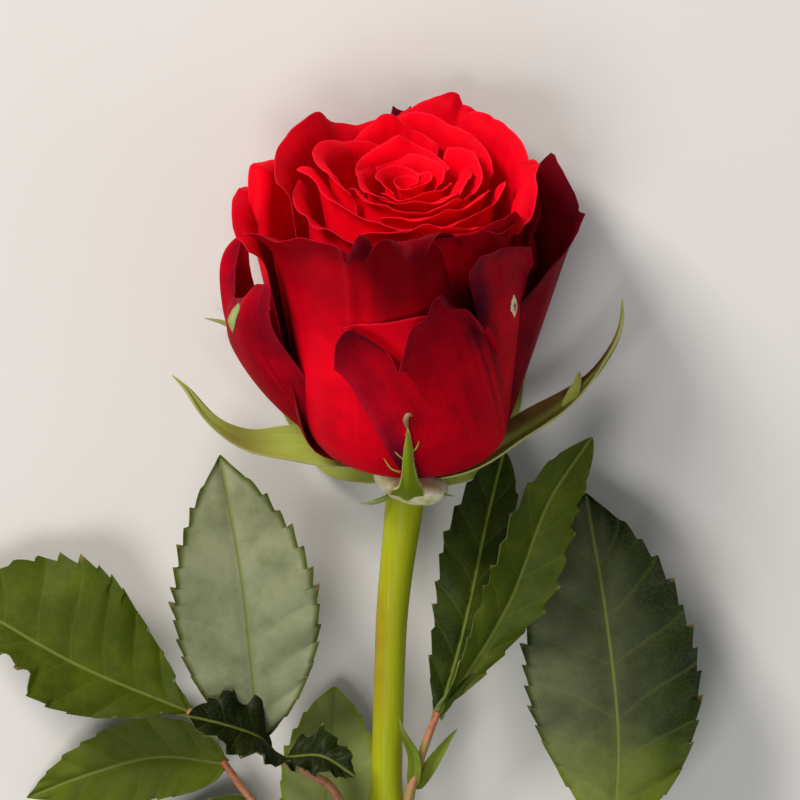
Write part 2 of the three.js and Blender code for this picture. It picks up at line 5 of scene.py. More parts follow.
import bpy
import numpy as np
from mathutils import Matrix, Vector


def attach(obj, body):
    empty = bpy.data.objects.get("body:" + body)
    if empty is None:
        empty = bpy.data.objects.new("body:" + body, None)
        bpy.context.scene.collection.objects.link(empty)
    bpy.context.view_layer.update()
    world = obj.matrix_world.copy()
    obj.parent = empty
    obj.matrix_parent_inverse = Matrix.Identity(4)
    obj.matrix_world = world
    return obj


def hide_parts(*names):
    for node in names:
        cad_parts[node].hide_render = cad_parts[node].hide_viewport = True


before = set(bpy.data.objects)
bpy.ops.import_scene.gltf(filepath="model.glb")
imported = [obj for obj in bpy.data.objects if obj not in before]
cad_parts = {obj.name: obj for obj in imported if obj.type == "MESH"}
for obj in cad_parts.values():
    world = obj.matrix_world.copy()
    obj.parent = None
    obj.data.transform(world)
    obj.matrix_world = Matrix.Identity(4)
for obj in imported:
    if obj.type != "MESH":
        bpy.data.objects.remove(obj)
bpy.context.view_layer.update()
scene = bpy.context.scene
print("frame loaded:", len(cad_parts), "nodes")

# Shapes are worked out in millimetres, with the flower's stem top near x 0, y 0. restPoint is the spot
# of the bloom that touches the table, and it becomes the origin.
mm = 0.001
restPoint = np.array([1.4, 20.0, 0.0])

# Camera, straight down from over the flower, leaning a little towards the bloom's top

photoView = {
    "width": 140,             # mm of flower across the picture
    "lean": 12,               # degrees from straight overhead
    "aim": (0, 16.6, 10.5),   # what the middle of the picture shows
    "lens": 400,
    "sensor": 36,
}


def placeCamera(view):
    data = bpy.data.cameras.new("photoCamera")
    data.lens = view["lens"]
    data.sensor_width = view["sensor"]
    data.clip_end = 50
    camera = bpy.data.objects.new("photoCamera", data)
    scene.collection.objects.link(camera)
    lean = math.radians(view["lean"])
    back = Vector((0, math.sin(lean), math.cos(lean)))
    up = Vector((0, math.cos(lean), -math.sin(lean)))
    distance = view["width"] * view["lens"] / view["sensor"]
    place = (Vector(view["aim"]) - Vector(restPoint) + back * distance) * mm
    turn = Matrix((up.cross(back), up, back)).transposed().to_4x4()
    camera.matrix_world = Matrix.Translation(place) @ turn
    scene.camera = camera


placeCamera(photoView)

# Nodes and materials

inColour = {"data_type": "RGBA", "out": 2}
smoothly = {"interpolation_type": "SMOOTHSTEP"}


def linear(hexColour):
    channels = [int(hexColour[i:i + 2], 16) / 255 for i in (1, 3, 5)]
    return tuple(c / 12.92 if c <= 0.04045 else ((c + 0.055) / 1.055) ** 2.4 for c in channels) + (1.0,)


def setInputs(node, inputs):
    # inputs are in order or by name, and each is a value, a hex colour or another node's socket
    pairs = inputs.items() if isinstance(inputs, dict) else enumerate(inputs)
    for name, value in pairs:
        if isinstance(value, bpy.types.NodeSocket):
            node.id_data.links.new(value, node.inputs[name])
        else:
            node.inputs[name].default_value = linear(value) if str(value).startswith("#") else value


def addNode(tree, kind, inputs=(), out=0, stops=(), **settings):
    # a shader node, or any kind by its full name; stops are the places and colours of a colour ramp
    node = tree.nodes.new(kind if "Node" in kind else "ShaderNode" + kind)
    for name, value in settings.items():
        setattr(node, name, value)
    setInputs(node, inputs)
    if stops:
        ramp = node.color_ramp.elements
        for stop, (at, colour) in zip((ramp[0], ramp[1]), (stops[0], stops[-1])):
            stop.position = at
            stop.color = linear(colour)
        for at, colour in stops[1:-1]:
            ramp.new(at).color = linear(colour)
    return node.outputs[out] if node.outputs else None


def newMaterial(name, sockets):
    # sockets are the shader's own values that are the same all over
    material = bpy.data.materials.new(name)
    material.use_nodes = True
    tree = material.node_tree
    shader = tree.nodes["Principled BSDF"]
    setInputs(shader, sockets)
    return material, partial(addNode, tree), shader


def grainedMaterial(look, placeFrom=None):
    # a grain in mm clouds the skin between its tints, unless placeFrom gives the place among them, and
    # roughens it where it has a relief
    material, add, shader = newMaterial(look["name"], look["sockets"])
    inPlace = add("TexCoord", out="Object")
    grain = add("TexNoise", {"Vector": inPlace, "Scale": 1 / (look["grain"] * mm), "Detail": look["detail"]})
    place = placeFrom(add, inPlace, grain) if placeFrom else grain
    setInputs(shader, {"Base Color": add("ValToRGB", [place], stops=look["tints"])})
    if "relief" in look:
        strength, depth = look["relief"]
        bump = add("Bump", {"Height": grain, "Strength": strength, "Distance": depth * mm})
        setInputs(shader, {"Normal": bump})
    return material


# Light and floor

studio = {
    "key": {"place": (-0.75, 0.95, 0.75), "size": 0.5, "power": 21.5, "colour": "#fff8f2"},
    "top": {"place": (-0.5, -0.6, 1.5), "size": 0.8, "power": 11, "colour": "#ffffff"},
    "fill": {"place": (1.2, -0.2, 0.7), "size": 0.9, "power": 2, "colour": "#eef3ff"},
    "sky": {"Color": "#dfe3e8", "Strength": 0.25},
    "floor": {"Base Color": "#d9d6d1", "Roughness": 0.75},   # matt painted board: even, with no gloss
    "floorSize": 14.0,
}


def lightStudio(setup):
    for name in ("key", "top", "fill"):
        light = setup[name]
        data = bpy.data.lights.new(name + "Light", "AREA")
        data.size = light["size"]
        data.energy = light["power"]
        data.color = linear(light["colour"])[:3]
        lamp = bpy.data.objects.new(name + "Light", data)
        scene.collection.objects.link(lamp)
        lamp.location = light["place"]
        lamp.rotation_mode = "QUATERNION"
        lamp.rotation_quaternion = Vector(light["place"]).to_track_quat("Z", "Y")
    world = bpy.data.worlds.new("studioSky")
    world.use_nodes = True
    setInputs(world.node_tree.nodes["Background"], setup["sky"])
    scene.world = world
    # Standard keeps the petals' pure red, which filmic curves wash out
    scene.view_settings.view_transform = "Standard"


def layFloor(setup):
    mesh = bpy.data.meshes.new("floor")
    half = setup["floorSize"] / 2
    corners = [(-half, -half, 0), (half, -half, 0), (half, half, 0), (-half, half, 0)]
    mesh.from_pydata(corners, [], [(0, 1, 2, 3)])
    mesh.materials.append(newMaterial("matt painted board", setup["floor"])[0])
    floor = bpy.data.objects.new("floor", mesh)
    scene.collection.objects.link(floor)


lightStudio(studio)
layFloor(studio)
print("studio ready")

# Curves and waves


def smoothStep(x, low, high):
    t = np.clip((x - low) / (high - low), 0, 1)
    return t * t * (3 - 2 * t)


def bump(x, place, width):
    # a smooth rise to 1 at a place
    return np.exp(-((x - place) / width) ** 2)


def waver(x, seed, waves=4):
    # a smooth random wave, mostly between -1 and 1
    rng = random.Random(seed)
    total = 0 * x
    for i in range(waves):
        total = total + np.sin(x * (1 + 0.9 * i) * rng.uniform(0.8, 1.2) + rng.uniform(0, 6.28)) * 0.62 ** i
    return total * 0.6


def smoothPart(t, start, leaving, end, arriving):
    # between two points, from the speed at the first to the speed at the second
    begun = (2 * t ** 3 - 3 * t ** 2 + 1) * start + (t ** 3 - 2 * t ** 2 + t) * leaving
    return begun + (3 * t ** 2 - 2 * t ** 3) * end + (t ** 3 - t ** 2) * arriving


def throughPairs(pairs, places):
    # a smooth line through (place, value) pairs that keeps their peaks and dips
    xs, ys = np.array(pairs, float).T
    slopes = np.diff(ys) / np.diff(xs)
    same = slopes[:-1] * slopes[1:] > 0
    total = np.where(same, slopes[:-1] + slopes[1:], 1)
    inner = np.where(same, 2 * slopes[:-1] * slopes[1:] / total, 0)
    tangents = np.concatenate([slopes[:1], inner, slopes[-1:]])
    i = np.clip(np.searchsorted(xs, places) - 1, 0, len(xs) - 2)
    width = xs[i + 1] - xs[i]
    t = np.clip((places - xs[i]) / width, 0, 1)
    return smoothPart(t, ys[i], width * tangents[i], ys[i + 1], width * tangents[i + 1])


def splineThrough(points, at):
    # a smooth path through points, with at counted in points from the first one
    last = len(points) - 1
    ends = np.vstack([2 * points[0] - points[1], points, 2 * points[-1] - points[-2]])
    i = np.minimum(at.astype(int), last - 1)
    p0, p1, p2, p3 = ends[i], ends[i + 1], ends[i + 2], ends[i + 3]
    d0, d1, d2 = (np.linalg.norm(b - a, axis=1)[:, None] ** 0.5 for a, b in ((p0, p1), (p1, p2), (p2, p3)))
    leaving = ((p1 - p0) / d0 - (p2 - p0) / (d0 + d1) + (p2 - p1) / d1) * d1
    arriving = ((p2 - p1) / d1 - (p3 - p1) / (d1 + d2) + (p3 - p2) / d2) * d1
    return smoothPart((at - i)[:, None], p1, leaving, p2, arriving)


def alongPath(points, places):
    # a smooth path through points, at places from 0 to 1 of its length
    points = np.array(points, float)
    at = np.linspace(0, len(points) - 1, 400)
    steps = np.linalg.norm(np.diff(splineThrough(points, at), axis=0), axis=1)
    lengths = np.concatenate([[0], np.cumsum(steps)]) / steps.sum()
    return splineThrough(points, np.interp(places, lengths, at))


def unit(vectors):
    return vectors / np.maximum(np.linalg.norm(vectors, axis=-1, keepdims=True), 1e-9)


# Meshes from grids of points: a plate has an upper skin, a lower skin and a wall round the border

pressSoftness = 0.3   # mm, how softly a petal or leaf meets the table


def gridNormals(grid):
    return unit(np.cross(np.gradient(grid, axis=1), np.gradient(grid, axis=0)))


def plateFrom(grid, thickness, values):
    # values are numbers on the grid that the material reads; side is 0 on the upper skin and 1 below
    rows, columns = grid.shape[:2]
    count = rows * columns
    lower = grid - gridNormals(grid) * np.broadcast_to(thickness, grid.shape[:2])[..., None]
    index = np.arange(count).reshape(rows, columns)
    quads = index[:-1, :-1], index[:-1, 1:], index[1:, 1:], index[1:, :-1]
    upperFaces = np.stack([part.ravel() for part in quads], 1)
    rim = np.concatenate([index[0, :-1], index[:-1, -1], index[-1, :0:-1], index[:0:-1, 0]])
    ahead = np.roll(rim, -1)
    wall = np.stack([ahead, rim, rim + count, ahead + count], 1)
    faces = np.concatenate([upperFaces, upperFaces[:, ::-1] + count, wall])
    doubled = {name: np.tile(np.broadcast_to(v, (rows, columns)).ravel(), 2) for name, v in values.items()}
    doubled["side"] = np.repeat([0.0, 1.0], count)
    points = np.concatenate([grid.reshape(-1, 3), lower.reshape(-1, 3)])
    return {"points": points, "faces": faces, "values": doubled}


def onTable(points):
    # from mm to the frame's metres; what would lie below the table is pressed flat on it
    points = points - restPoint
    z = points[:, 2]
    points[:, 2] = (z + np.sqrt(z * z + pressSoftness * pressSoftness)) / 2
    return (points * mm).tolist()


def giveNumbers(mesh, values):
    # numbers or vectors on the mesh's points
    for name, numbers in values.items():
        kind, field = ("FLOAT_VECTOR", "vector") if numbers.ndim == 2 else ("FLOAT", "value")
        layer = mesh.attributes.new(name, kind, "POINT")
        layer.data.foreach_set(field, numbers.astype(np.float32).ravel())


def makeMesh(name, plates, material):
    points = np.concatenate([p["points"] for p in plates])
    offsets = np.cumsum([0] + [len(p["points"]) for p in plates[:-1]])
    faces = [tuple(f) for p, o in zip(plates, offsets) for f in (p["faces"] + o).tolist()]
    mesh = bpy.data.meshes.new(name)
    mesh.from_pydata(onTable(points), [], faces)
    loops = np.zeros(len(mesh.loops), int)
    mesh.loops.foreach_get("vertex_index", loops)
    values = {key: np.concatenate([p["values"][key] for p in plates]) for key in plates[0]["values"]}
    uv = np.stack([values.pop("u"), values.pop("v")], 1)[loops]
    mesh.uv_layers.new(name="ownMap").data.foreach_set("uv", uv.ravel())
    giveNumbers(mesh, values)
    mesh.materials.append(material)
    mesh.shade_smooth()
    mesh.set_sharp_from_angle(angle=math.radians(65))
    return mesh


def addPiece(name, mesh, node):
    piece = bpy.data.objects.new(name, mesh)
    mesh.name = name
    scene.collection.objects.link(piece)
    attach(piece, "root")
    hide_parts(node)
    print("piece:", name, "faces:", len(mesh.polygons))


# Geometry Nodes


def newTree(name, inputs):
    # a tree with a geometry input, named inputs, and a geometry output
    tree = bpy.data.node_groups.new(name, "GeometryNodeTree")
    sockets = [("Geometry", "INPUT", "Geometry"), *((label, "INPUT", kind) for label, kind in inputs.items())]
    for label, way, kind in (*sockets, ("Geometry", "OUTPUT", "Geometry")):
        tree.interface.new_socket(label, in_out=way, socket_type="NodeSocket" + kind)
    return tree, partial(addNode, tree), tree.nodes.new("NodeGroupInput").outputs


def finishTree(tree, geometry, material):
    real = addNode(tree, "GeometryNodeRealizeInstances", {"Geometry": geometry})
    shown = addNode(tree, "GeometryNodeSetMaterial", {"Geometry": real, "Material": material})
    addNode(tree, "NodeGroupOutput", {"Geometry": shown})
    return tree


def grow(tree, source, values):
    # runs a tree on a source mesh and gives back the plain mesh that it makes
    holder = bpy.data.objects.new("growing", source)
    scene.collection.objects.link(holder)
    modifier = holder.modifiers.new("grow", "NODES")
    modifier.node_group = tree
    for item in tree.interface.items_tree:
        if item.in_out == "INPUT" and item.name in values:
            modifier[item.identifier] = values[item.name]
    evaluated = holder.evaluated_get(bpy.context.evaluated_depsgraph_get())
    mesh = bpy.data.meshes.new_from_object(evaluated)
    holder.modifiers.remove(modifier)
    bpy.data.objects.remove(holder)
    mesh.shade_smooth()
    return mesh


def lineMesh(lines, values):
    # open lines of points in mm as loose edges, with numbers and vectors on their points
    edges = []
    first = 0
    for line in lines:
        edges += [(first + i, first + i + 1) for i in range(len(line) - 1)]
        first += len(line)
    mesh = bpy.data.meshes.new("lines")
    mesh.from_pydata(onTable(np.concatenate(lines)), edges, [])
    giveNumbers(mesh, {name: np.concatenate(numbers) for name, numbers in values.items()})
    return mesh


def tubeSkin(add, inputs):
    # a round skin along the tree's lines, as thick as their radius numbers say, in mm
    radius = add("GeometryNodeInputNamedAttribute", {"Name": "radius"}, data_type="FLOAT")
    metres = add("Math", [radius, inputs["Millimetre"]], operation="MULTIPLY")
    line = add("GeometryNodeMeshToCurve", {"Mesh": inputs["Geometry"]})
    ring = add("GeometryNodeCurvePrimitiveCircle", {"Resolution": inputs["Sides"], "Radius": 1.0})
    return add("GeometryNodeCurveToMesh", {
        "Curve": line, "Profile Curve": ring, "Scale": metres, "Fill Caps": True,
    })


def tubesAlong(name, source, sides, material):
    tree, add, inputs = newTree(name, {"Sides": "Int", "Millimetre": "Float"})
    finishTree(tree, tubeSkin(add, inputs), material)
    return grow(tree, source, {"Sides": sides, "Millimetre": mm})


# Petals

# Fresh rose petal: a soft skin of tiny domed cells, which scatters light like velvet and glows red where
# light comes through. Older outer petals dry to burgundy, with dark streaks and a bluish bloom.
petalSkin = {
    "byAge": [(0.0, "#f60018"), (0.3, "#d80018"), (0.6, "#a80014"), (0.85, "#7a0416"), (1.0, "#520414")],
    # the deep red-black colour below is painted shade, laid on where neighbouring petals keep light out
    # the pale pink rim colour below is a painted highlight, where thin young rims catch the light
    "streak": "#3a0210", "driedRim": "#3c0a20", "paintedRimHighlight": "#f0304e", "paintedShade": "#3c0006",
    "blotch": 9,        # mm across
    "cell": 0.22,       # mm, drawn several times coarser than real cells so that it shows
    "streaks": 55,      # across a petal
    "sockets": {
        "Roughness": 0.58, "IOR": 1.3, "Specular IOR Level": 0.06, "Sheen Weight": 0.03,
        "Sheen Roughness": 0.4, "Sheen Tint": "#ff5a78", "Subsurface Weight": 0.25,
        "Subsurface Radius": (1.0, 0.12, 0.08), "Subsurface Scale": 1.6 * mm,
    },
}


def petalMaterial(look):
    material, add, shader = newMaterial("fresh rose petal, velvety cells", look["sockets"])
    inPlace = add("TexCoord", out="Object")
    age, rim, shade = (add("Attribute", out="Fac", attribute_name=name) for name in ("age", "rim", "shade"))
    blotches = add("TexNoise", {
        "Vector": inPlace, "Scale": 1 / (look["blotch"] * mm), "Detail": 4, "Roughness": 0.6,
    })
    patch = add("MapRange", [blotches, 0.3, 0.7, -0.16, 0.16])
    patchy = add("Math", [age, patch], operation="ADD", use_clamp=True)
    stretched = add("Mapping", {"Vector": add("UVMap", uv_map="ownMap"), "Scale": (look["streaks"], 2.2, 1)})
    fibres = add("TexNoise", {
        "Vector": stretched, "Scale": 1.0, "Detail": 3, "Roughness": 0.55, "Distortion": 0.4,
    })
    dark = add("MapRange", [fibres, 0.52, 0.75, 0, 0.75])
    aged = add("MapRange", [age, 0.25, 0.8])
    streaky = add("Math", [dark, aged], operation="MULTIPLY")
    nearRim = add("MapRange", [rim, 0.2, 4.5, 1, 0], **smoothly)
    dried = add("Math", [nearRim, aged], operation="MULTIPLY")
    cloudy = add("Math", [blotches, 1.1], operation="MULTIPLY")
    driedRim = add("Math", [dried, cloudy], operation="MULTIPLY", use_clamp=True)
    # painted highlight: a pale line along the rims of young petals, where their thin edges catch the light
    atEdge = add("MapRange", [rim, 0.02, 0.5, 0.26, 0])
    young = add("Math", [1.0, aged], operation="SUBTRACT", use_clamp=True)
    paintedRimHighlight = add("Math", [atEdge, young], operation="MULTIPLY")
    # painted shade: the shade numbers darken the colour towards red-black
    paintedShade = add("Math", [shade, 0.75], operation="MULTIPLY")
    colour = add("ValToRGB", [patchy], stops=look["byAge"])
    for cover, tint in ((streaky, "streak"), (driedRim, "driedRim"), (paintedRimHighlight, "paintedRimHighlight"), (paintedShade, "paintedShade")):
        colour = add("Mix", {0: cover, 6: colour, 7: look[tint]}, **inColour)
    cells = add("TexNoise", {"Vector": inPlace, "Scale": 1 / (look["cell"] * mm), "Detail": 2})
    ribs = add("Bump", {"Height": fibres, "Strength": 0.2, "Distance": 0.2 * mm})
    skin = add("Bump", {"Height": cells, "Strength": 0.2, "Distance": 0.05 * mm, "Normal": ribs})
    setInputs(shader, {"Base Color": colour, "Normal": skin})
    return material


bloomPlace = {"base": np.array([1.4, 5.5, 14.5]), "tilt": 14}

# In mm and degrees: turn, spread: place round the bloom and half width. body: radius of the upright part.
# lean, bend: how it stands out. curl, rim: how far and over what length the top folds outwards.
# edge: length to the rim from side to side. rolls: (place, width, more curl). spouts: (place, width,
# outwards, steepness). hug: (side, middle, top) pressed inwards. bruises: (place, width, along, height,
# added age). shade: (place, strength) pairs along and across: painted shade where neighbours keep light out.
petalForm = {
    "root": 3.5, "bowl": 64, "inset": 2.2, "softness": 2, "slope": 0.88, "leanLength": 66, "evenCurl": 0.7,
    "curlWaver": 0.22, "lift": 1.3, "sink": 0, "steps": 64, "rows": 46, "columns": 52, "thickness": 0.42,
    "rimThickness": 0.13, "rimWidth": 9, "bend": 0, "slant": 0, "tuck": 0, "flare": 0, "hug": (1, 0, 0),
    "rolls": [], "spouts": [], "ripple": 0, "waves": 3, "ragged": 0.18, "crease": 0.22, "pucker": 0.12,
    "shade": [(0, 0), (1, 0)], "shadeAcross": [(0, 0), (1, 0)], "bruises": [],
}


def inBloom(turn, radius, height):
    # turn is from the front, that faces up, to the right; height is along the bloom's axis
    tilt = math.radians(bloomPlace["tilt"])
    axis = np.array([0, math.cos(tilt), math.sin(tilt)])
    front = np.array([0, -math.sin(tilt), math.cos(tilt)])
    sideways = (radius * np.sin(turn))[..., None] * np.array([1.0, 0, 0])
    forwards = (radius * np.cos(turn))[..., None] * front
    return bloomPlace["base"] + sideways + forwards + height[..., None] * axis


def petalGrid(petal, across, along):
    reach = throughPairs(petal["edge"], across) + petal["ragged"] * waver(across * 9, petal["seed"])
    step = along * reach / petal["steps"]
    bowlEnd = (petal["body"] - petal["root"] - petal["inset"]) / petal["slope"]
    even = petal["evenCurl"]
    curl = petal["curl"] * (even + (1 - even) * np.sin(np.pi * across) ** 2)
    curl = curl * (1 + petal["curlWaver"] * waver(across * 4, petal["seed"] + 1))
    for place, width, degrees in petal["rolls"]:
        curl = curl + degrees * bump(across, place, width)
    radius = np.full(across.shape, float(petal["root"]))
    height = (petal["lift"] - petal["sink"]) * (1 - along) ** 2
    for i in range(petal["steps"]):
        far = (i + 0.5) * step
        bowlPart = petal["bowl"] / (1 + np.exp((far - bowlEnd) / petal["softness"]))
        rimPart = curl * smoothStep(far - reach, -petal["rim"], 0)
        angle = np.radians(petal["lean"] + petal["bend"] * far / petal["leanLength"] + bowlPart + rimPart)
        radius = radius + step * np.sin(angle)
        height = height + step * np.cos(angle)
    radius = radius + along * (petal["tuck"] * across + petal["flare"] * np.abs(across) ** 3)
    near, hugMiddle, hugTop = petal["hug"]
    hug = hugMiddle * np.sin(np.pi * along) + hugTop * along ** 2
    radius = radius - hug * np.clip(near * across, 0, 1) ** 1.5
    for place, width, outwards, steepness in petal["spouts"]:
        radius = radius + outwards * bump(across, place, width) * along ** steepness
    waves = petal["ripple"] * along ** 5 * np.sin(petal["waves"] * np.pi * across + petal["turn"])
    turn = np.radians(petal["turn"] + petal["spread"] * across + petal["slant"] * (1 - along))
    return inBloom(turn, radius, height + waves), reach, radius


def creasedPetal(petal, across, along):
    grid, reach, radius = petalGrid(petal, across, along)
    creases = petal["crease"] * along ** 2 * waver(across * 7 + along * 1.5, petal["seed"] + 2)
    puckers = petal["pucker"] * along ** 9 * waver(across * 16, petal["seed"] + 3)
    return grid + gridNormals(grid) * (creases + puckers)[..., None], reach, radius


def petalPlate(petal, start=0.0):
    side = np.linspace(-1, 1, petal["columns"])
    t = np.linspace(0, 1, petal["rows"])
    across, along = np.meshgrid(side, start + (1 - start) * (1 - (1 - t) ** 1.5))
    grid, reach, radius = creasedPetal(petal, across, along)
    fromTop = (1 - along) * reach
    fromSide = (1 - np.abs(across)) * math.radians(petal["spread"]) * np.maximum(radius, 4)
    rim = np.minimum(fromTop, fromSide)
    thin, thick = petal["rimThickness"], petal["thickness"]
    thickness = thin + (thick - thin) * smoothStep(rim, 0, petal["rimWidth"])
    # painted shade, darker along and across the petal where neighbours keep light out
    (low, lowShade), (high, highShade) = petal["shade"]
    (left, leftShade), (right, rightShade) = petal["shadeAcross"]
    shade = lowShade + (highShade - lowShade) * smoothStep(along, low, high)
    shade = shade + leftShade + (rightShade - leftShade) * smoothStep(across, left, right)
    age = petal["age"] + 0 * along
    for place, width, fromFoot, height, older in petal["bruises"]:
        age = age + older * bump(across, place, width) * bump(along, fromFoot, height)
    return plateFrom(grid, thickness, {
        "u": (across + 1) / 2, "v": along, "age": np.clip(age, 0, 1), "rim": rim,
        "shade": np.clip(shade, 0, 1),
    })


outerPetals = {
    "frontLeft": {
        "turn": -25, "spread": 52, "body": 18.4, "lean": 6.3, "curl": 66, "rim": 7, "sink": 0.4,
        "age": 0.32,
        "edge": [(-1, 58), (-0.85, 59.8), (-0.6, 61.4), (-0.35, 62.4), (-0.1, 63.6), (0.03, 64),
            (0.13, 69.6), (0.22, 66), (0.4, 66.5), (0.53, 68.5), (0.7, 67), (0.85, 65), (1, 61)],
        "spouts": [(-1, 0.22, 4, 7), (-0.02, 0.05, 0.9, 2), (0.13, 0.07, 2.8, 9), (0.53, 0.1, 3, 7)],
        "rolls": [(0.13, 0.09, 150), (0.53, 0.12, 100)], "hug": (1, 0, 6), "columns": 104, "crease": 0.16,
        "bruises": [(0.13, 0.09, 1, 0.07, 0.6), (0.53, 0.25, 1, 0.03, 0.35),
            # the last bruise is painted shade: it darkens the lower left of the petal towards its foot
            (-0.6, 0.5, 0.1, 0.22, 0.28)],
        "ragged": 0.1, "shade": [(0.6, 0), (0.84, 0.75)], "shadeAcross": [(-0.1, 0), (0.45, 0.45)],
    },
    "frontTuck": {
        "turn": -8, "spread": 23, "body": 19.1, "lean": 5.5, "curl": 12, "rim": 5, "slant": 54,
        "sink": 0.6, "age": 0.2, "edge": [(-1, 45), (-0.6, 46.5), (0, 47.4), (0.6, 48.8), (1, 48)],
        "crease": 0, "ragged": 0.05, "pucker": 0,
    },
    "frontShort": {
        "turn": 6, "spread": 40, "body": 19.9, "lean": 5, "curl": 42, "rim": 6, "slant": 56, "sink": 0.6,
        "age": 0.55, "crease": 0.26, "shade": [(0.5, 0), (1, 0.25)], "columns": 80,
        "edge": [(-1, 38), (-0.96, 42), (-0.88, 45.5), (-0.78, 47.6), (-0.7, 47), (-0.5, 45),
            (-0.3, 42.8), (-0.25, 41.3), (-0.2, 45), (-0.12, 48), (0.03, 51), (0.13, 56.4), (0.25, 54),
            (0.4, 52), (0.64, 49), (0.76, 46), (1, 40)],
        "rolls": [(-0.85, 0.1, 25), (-0.23, 0.08, 50), (0.2, 0.2, 50), (0.62, 0.08, 60)],
        "hug": (1, 1.2, 1.2),
        "bruises": [(0.15, 0.22, 0.97, 0.1, 0.3), (0.55, 0.2, 0.86, 0.1, 0.35),
            (-0.72, 0.25, 1, 0.05, 0.35), (0.7, 0.04, 0.6, 0.3, 0.4), (0.45, 0.03, 0.65, 0.25, 0.3),
            (-0.98, 0.08, 0.45, 0.12, 0.5)],
    },
    "frontScarred": {
        "turn": 47, "spread": 22, "body": 17.8, "lean": 7, "curl": 40, "rim": 6, "sink": 0.4, "slant": 45,
        "age": 0.55, "crease": 0.05, "pucker": 0.03, "ragged": 0.06, "shade": [(0.6, 0), (0.95, 0.3)],
        "bruises": [(-0.98, 0.25, 0.85, 0.2, 0.4), (0, 0.6, 1, 0.08, 0.3)],
        "edge": [(-1, 57), (-0.82, 60.5), (-0.4, 59.8), (0.1, 59.2), (0.6, 57), (1, 52)],
        "spouts": [(-0.82, 0.2, 1.4, 7)],
    },
    "frontInner": {
        "turn": 26, "spread": 46, "body": 13.6, "lean": 8, "curl": 45, "rim": 4, "age": 0.45,
        "edge": [(-1, 57), (-0.4, 60), (0.2, 59.5), (0.6, 61), (1, 57)], "shade": [(0.6, 1), (0.95, 0.5)],
    },
    "guardRight": {
        "turn": 99, "spread": 38, "body": 17.6, "bowl": 54, "lean": 17.2, "curl": 14, "rim": 9, "tuck": 3,
        "flare": -7, "sink": 0.8, "age": 0.84, "ragged": 0.05, "crease": 0.4,
        "shade": [(0.3, 0), (0.95, 0.5)],
        "edge": [(-1, 41), (-0.76, 47.6), (-0.5, 54.2), (-0.05, 57.8), (0.15, 56.4), (0.42, 57.8),
            (0.68, 61.2), (0.75, 62.8), (0.84, 60), (1, 54)],
    },
    "guardLeft": {
        "turn": -95.5, "spread": 30.5, "body": 19, "root": 4.5, "bowl": 0, "lean": 76, "bend": -98,
        "curl": -50, "rim": 12, "flare": -4, "hug": (1, 9, 0), "sink": 0.8, "age": 0.66, "crease": 0.4,
        "edge": [(-1, 35), (-0.75, 37), (-0.6, 38), (-0.45, 40), (-0.37, 48), (-0.31, 57.5), (-0.23, 58),
            (-0.12, 51.5), (0.1, 46.5), (0.5, 49.5), (0.75, 54.6), (0.9, 55), (1, 53)],
        "columns": 110,
    },
    "sideLeft": {
        "turn": -101, "spread": 31, "body": 18.6, "lean": 11.4, "curl": 76, "rim": 6, "ripple": 0.2,
        "sink": 0.3, "age": 0.3, "shade": [(0.6, 1), (0.82, 0)],
        "edge": [(-1, 58), (-0.5, 61), (0, 62.5), (0.4, 61.5), (1, 58)],
    },
    "shoulderLeft": {
        "turn": -115, "spread": 26, "body": 17.6, "lean": 9.5, "curl": 140, "rim": 5.5, "ripple": 0.2,
        "age": 0.27, "edge": [(-1, 61), (-0.6, 64.5), (-0.1, 65.2), (0.2, 65.6), (0.5, 62.5), (1, 56)],
        "shade": [(0.4, 0.8), (0.75, 0)],
    },
    "backLeft": {
        "turn": -130, "spread": 50, "body": 15.6, "lean": 6.5, "curl": 50, "rim": 6, "age": 0.3,
        "edge": [(-1, 61), (-0.85, 64), (-0.55, 64.2), (-0.35, 65.2), (-0.1, 68), (0.1, 67.6), (0.6, 66),
            (1, 64)],
    },
    "back": {
        "turn": 166, "spread": 34, "body": 15.8, "lean": 6.5, "curl": 40, "rim": 5, "age": 0.28,
        "edge": [(-1, 64), (-0.65, 66.5), (-0.44, 67.4), (-0.29, 68), (-0.2, 70.2), (0, 68.4),
            (0.2, 67.6), (0.4, 66), (1, 61)],
        "rolls": [(-0.2, 0.1, 50)],
    },
    "backRight": {
        "turn": 124, "spread": 34, "body": 16, "lean": 5, "curl": 55, "rim": 5, "ripple": 0.15,
        "age": 0.26, "edge": [(-1, 60), (-0.4, 65), (0.1, 66.8), (0.7, 67.5), (1, 63)],
    },
    "sideRight": {
        "turn": 86, "spread": 26, "body": 16, "lean": 4.5, "curl": 100, "rim": 6, "ripple": 0.25,
        "sink": 0.3, "age": 0.25, "edge": [(-1, 58), (-0.6, 63), (0, 65), (0.6, 66), (1, 62)],
    },
    "edgeRight": {
        "turn": 88, "spread": 17, "body": 17.6, "lean": 6, "curl": 25, "rim": 5, "ripple": 0.7,
        "waves": 7, "sink": 0.4, "age": 0.85,
        "edge": [(-1, 54), (-0.5, 58), (0, 59.5), (0.6, 58), (1, 54)],
    },
    "underLeft": {
        "turn": -152, "spread": 42, "body": 19, "lean": 6, "curl": 40, "rim": 7, "ripple": 0.2,
        "sink": 0.8, "age": 0.85,
        "edge": [(-1, 54), (-0.85, 57), (-0.74, 62), (-0.69, 67.6), (-0.64, 66.6), (-0.58, 66.8),
            (-0.52, 67.6), (-0.47, 63), (0, 60), (0.5, 55), (1, 47)],
    },
    "underRight": {
        "turn": 148, "spread": 44, "body": 17.8, "lean": 5, "curl": 60, "rim": 9, "ripple": 0.3,
        "sink": 0.7, "age": 0.66, "edge": [(-1, 45), (-0.5, 53), (0, 57), (0.6, 55), (1, 48)],
    },
}

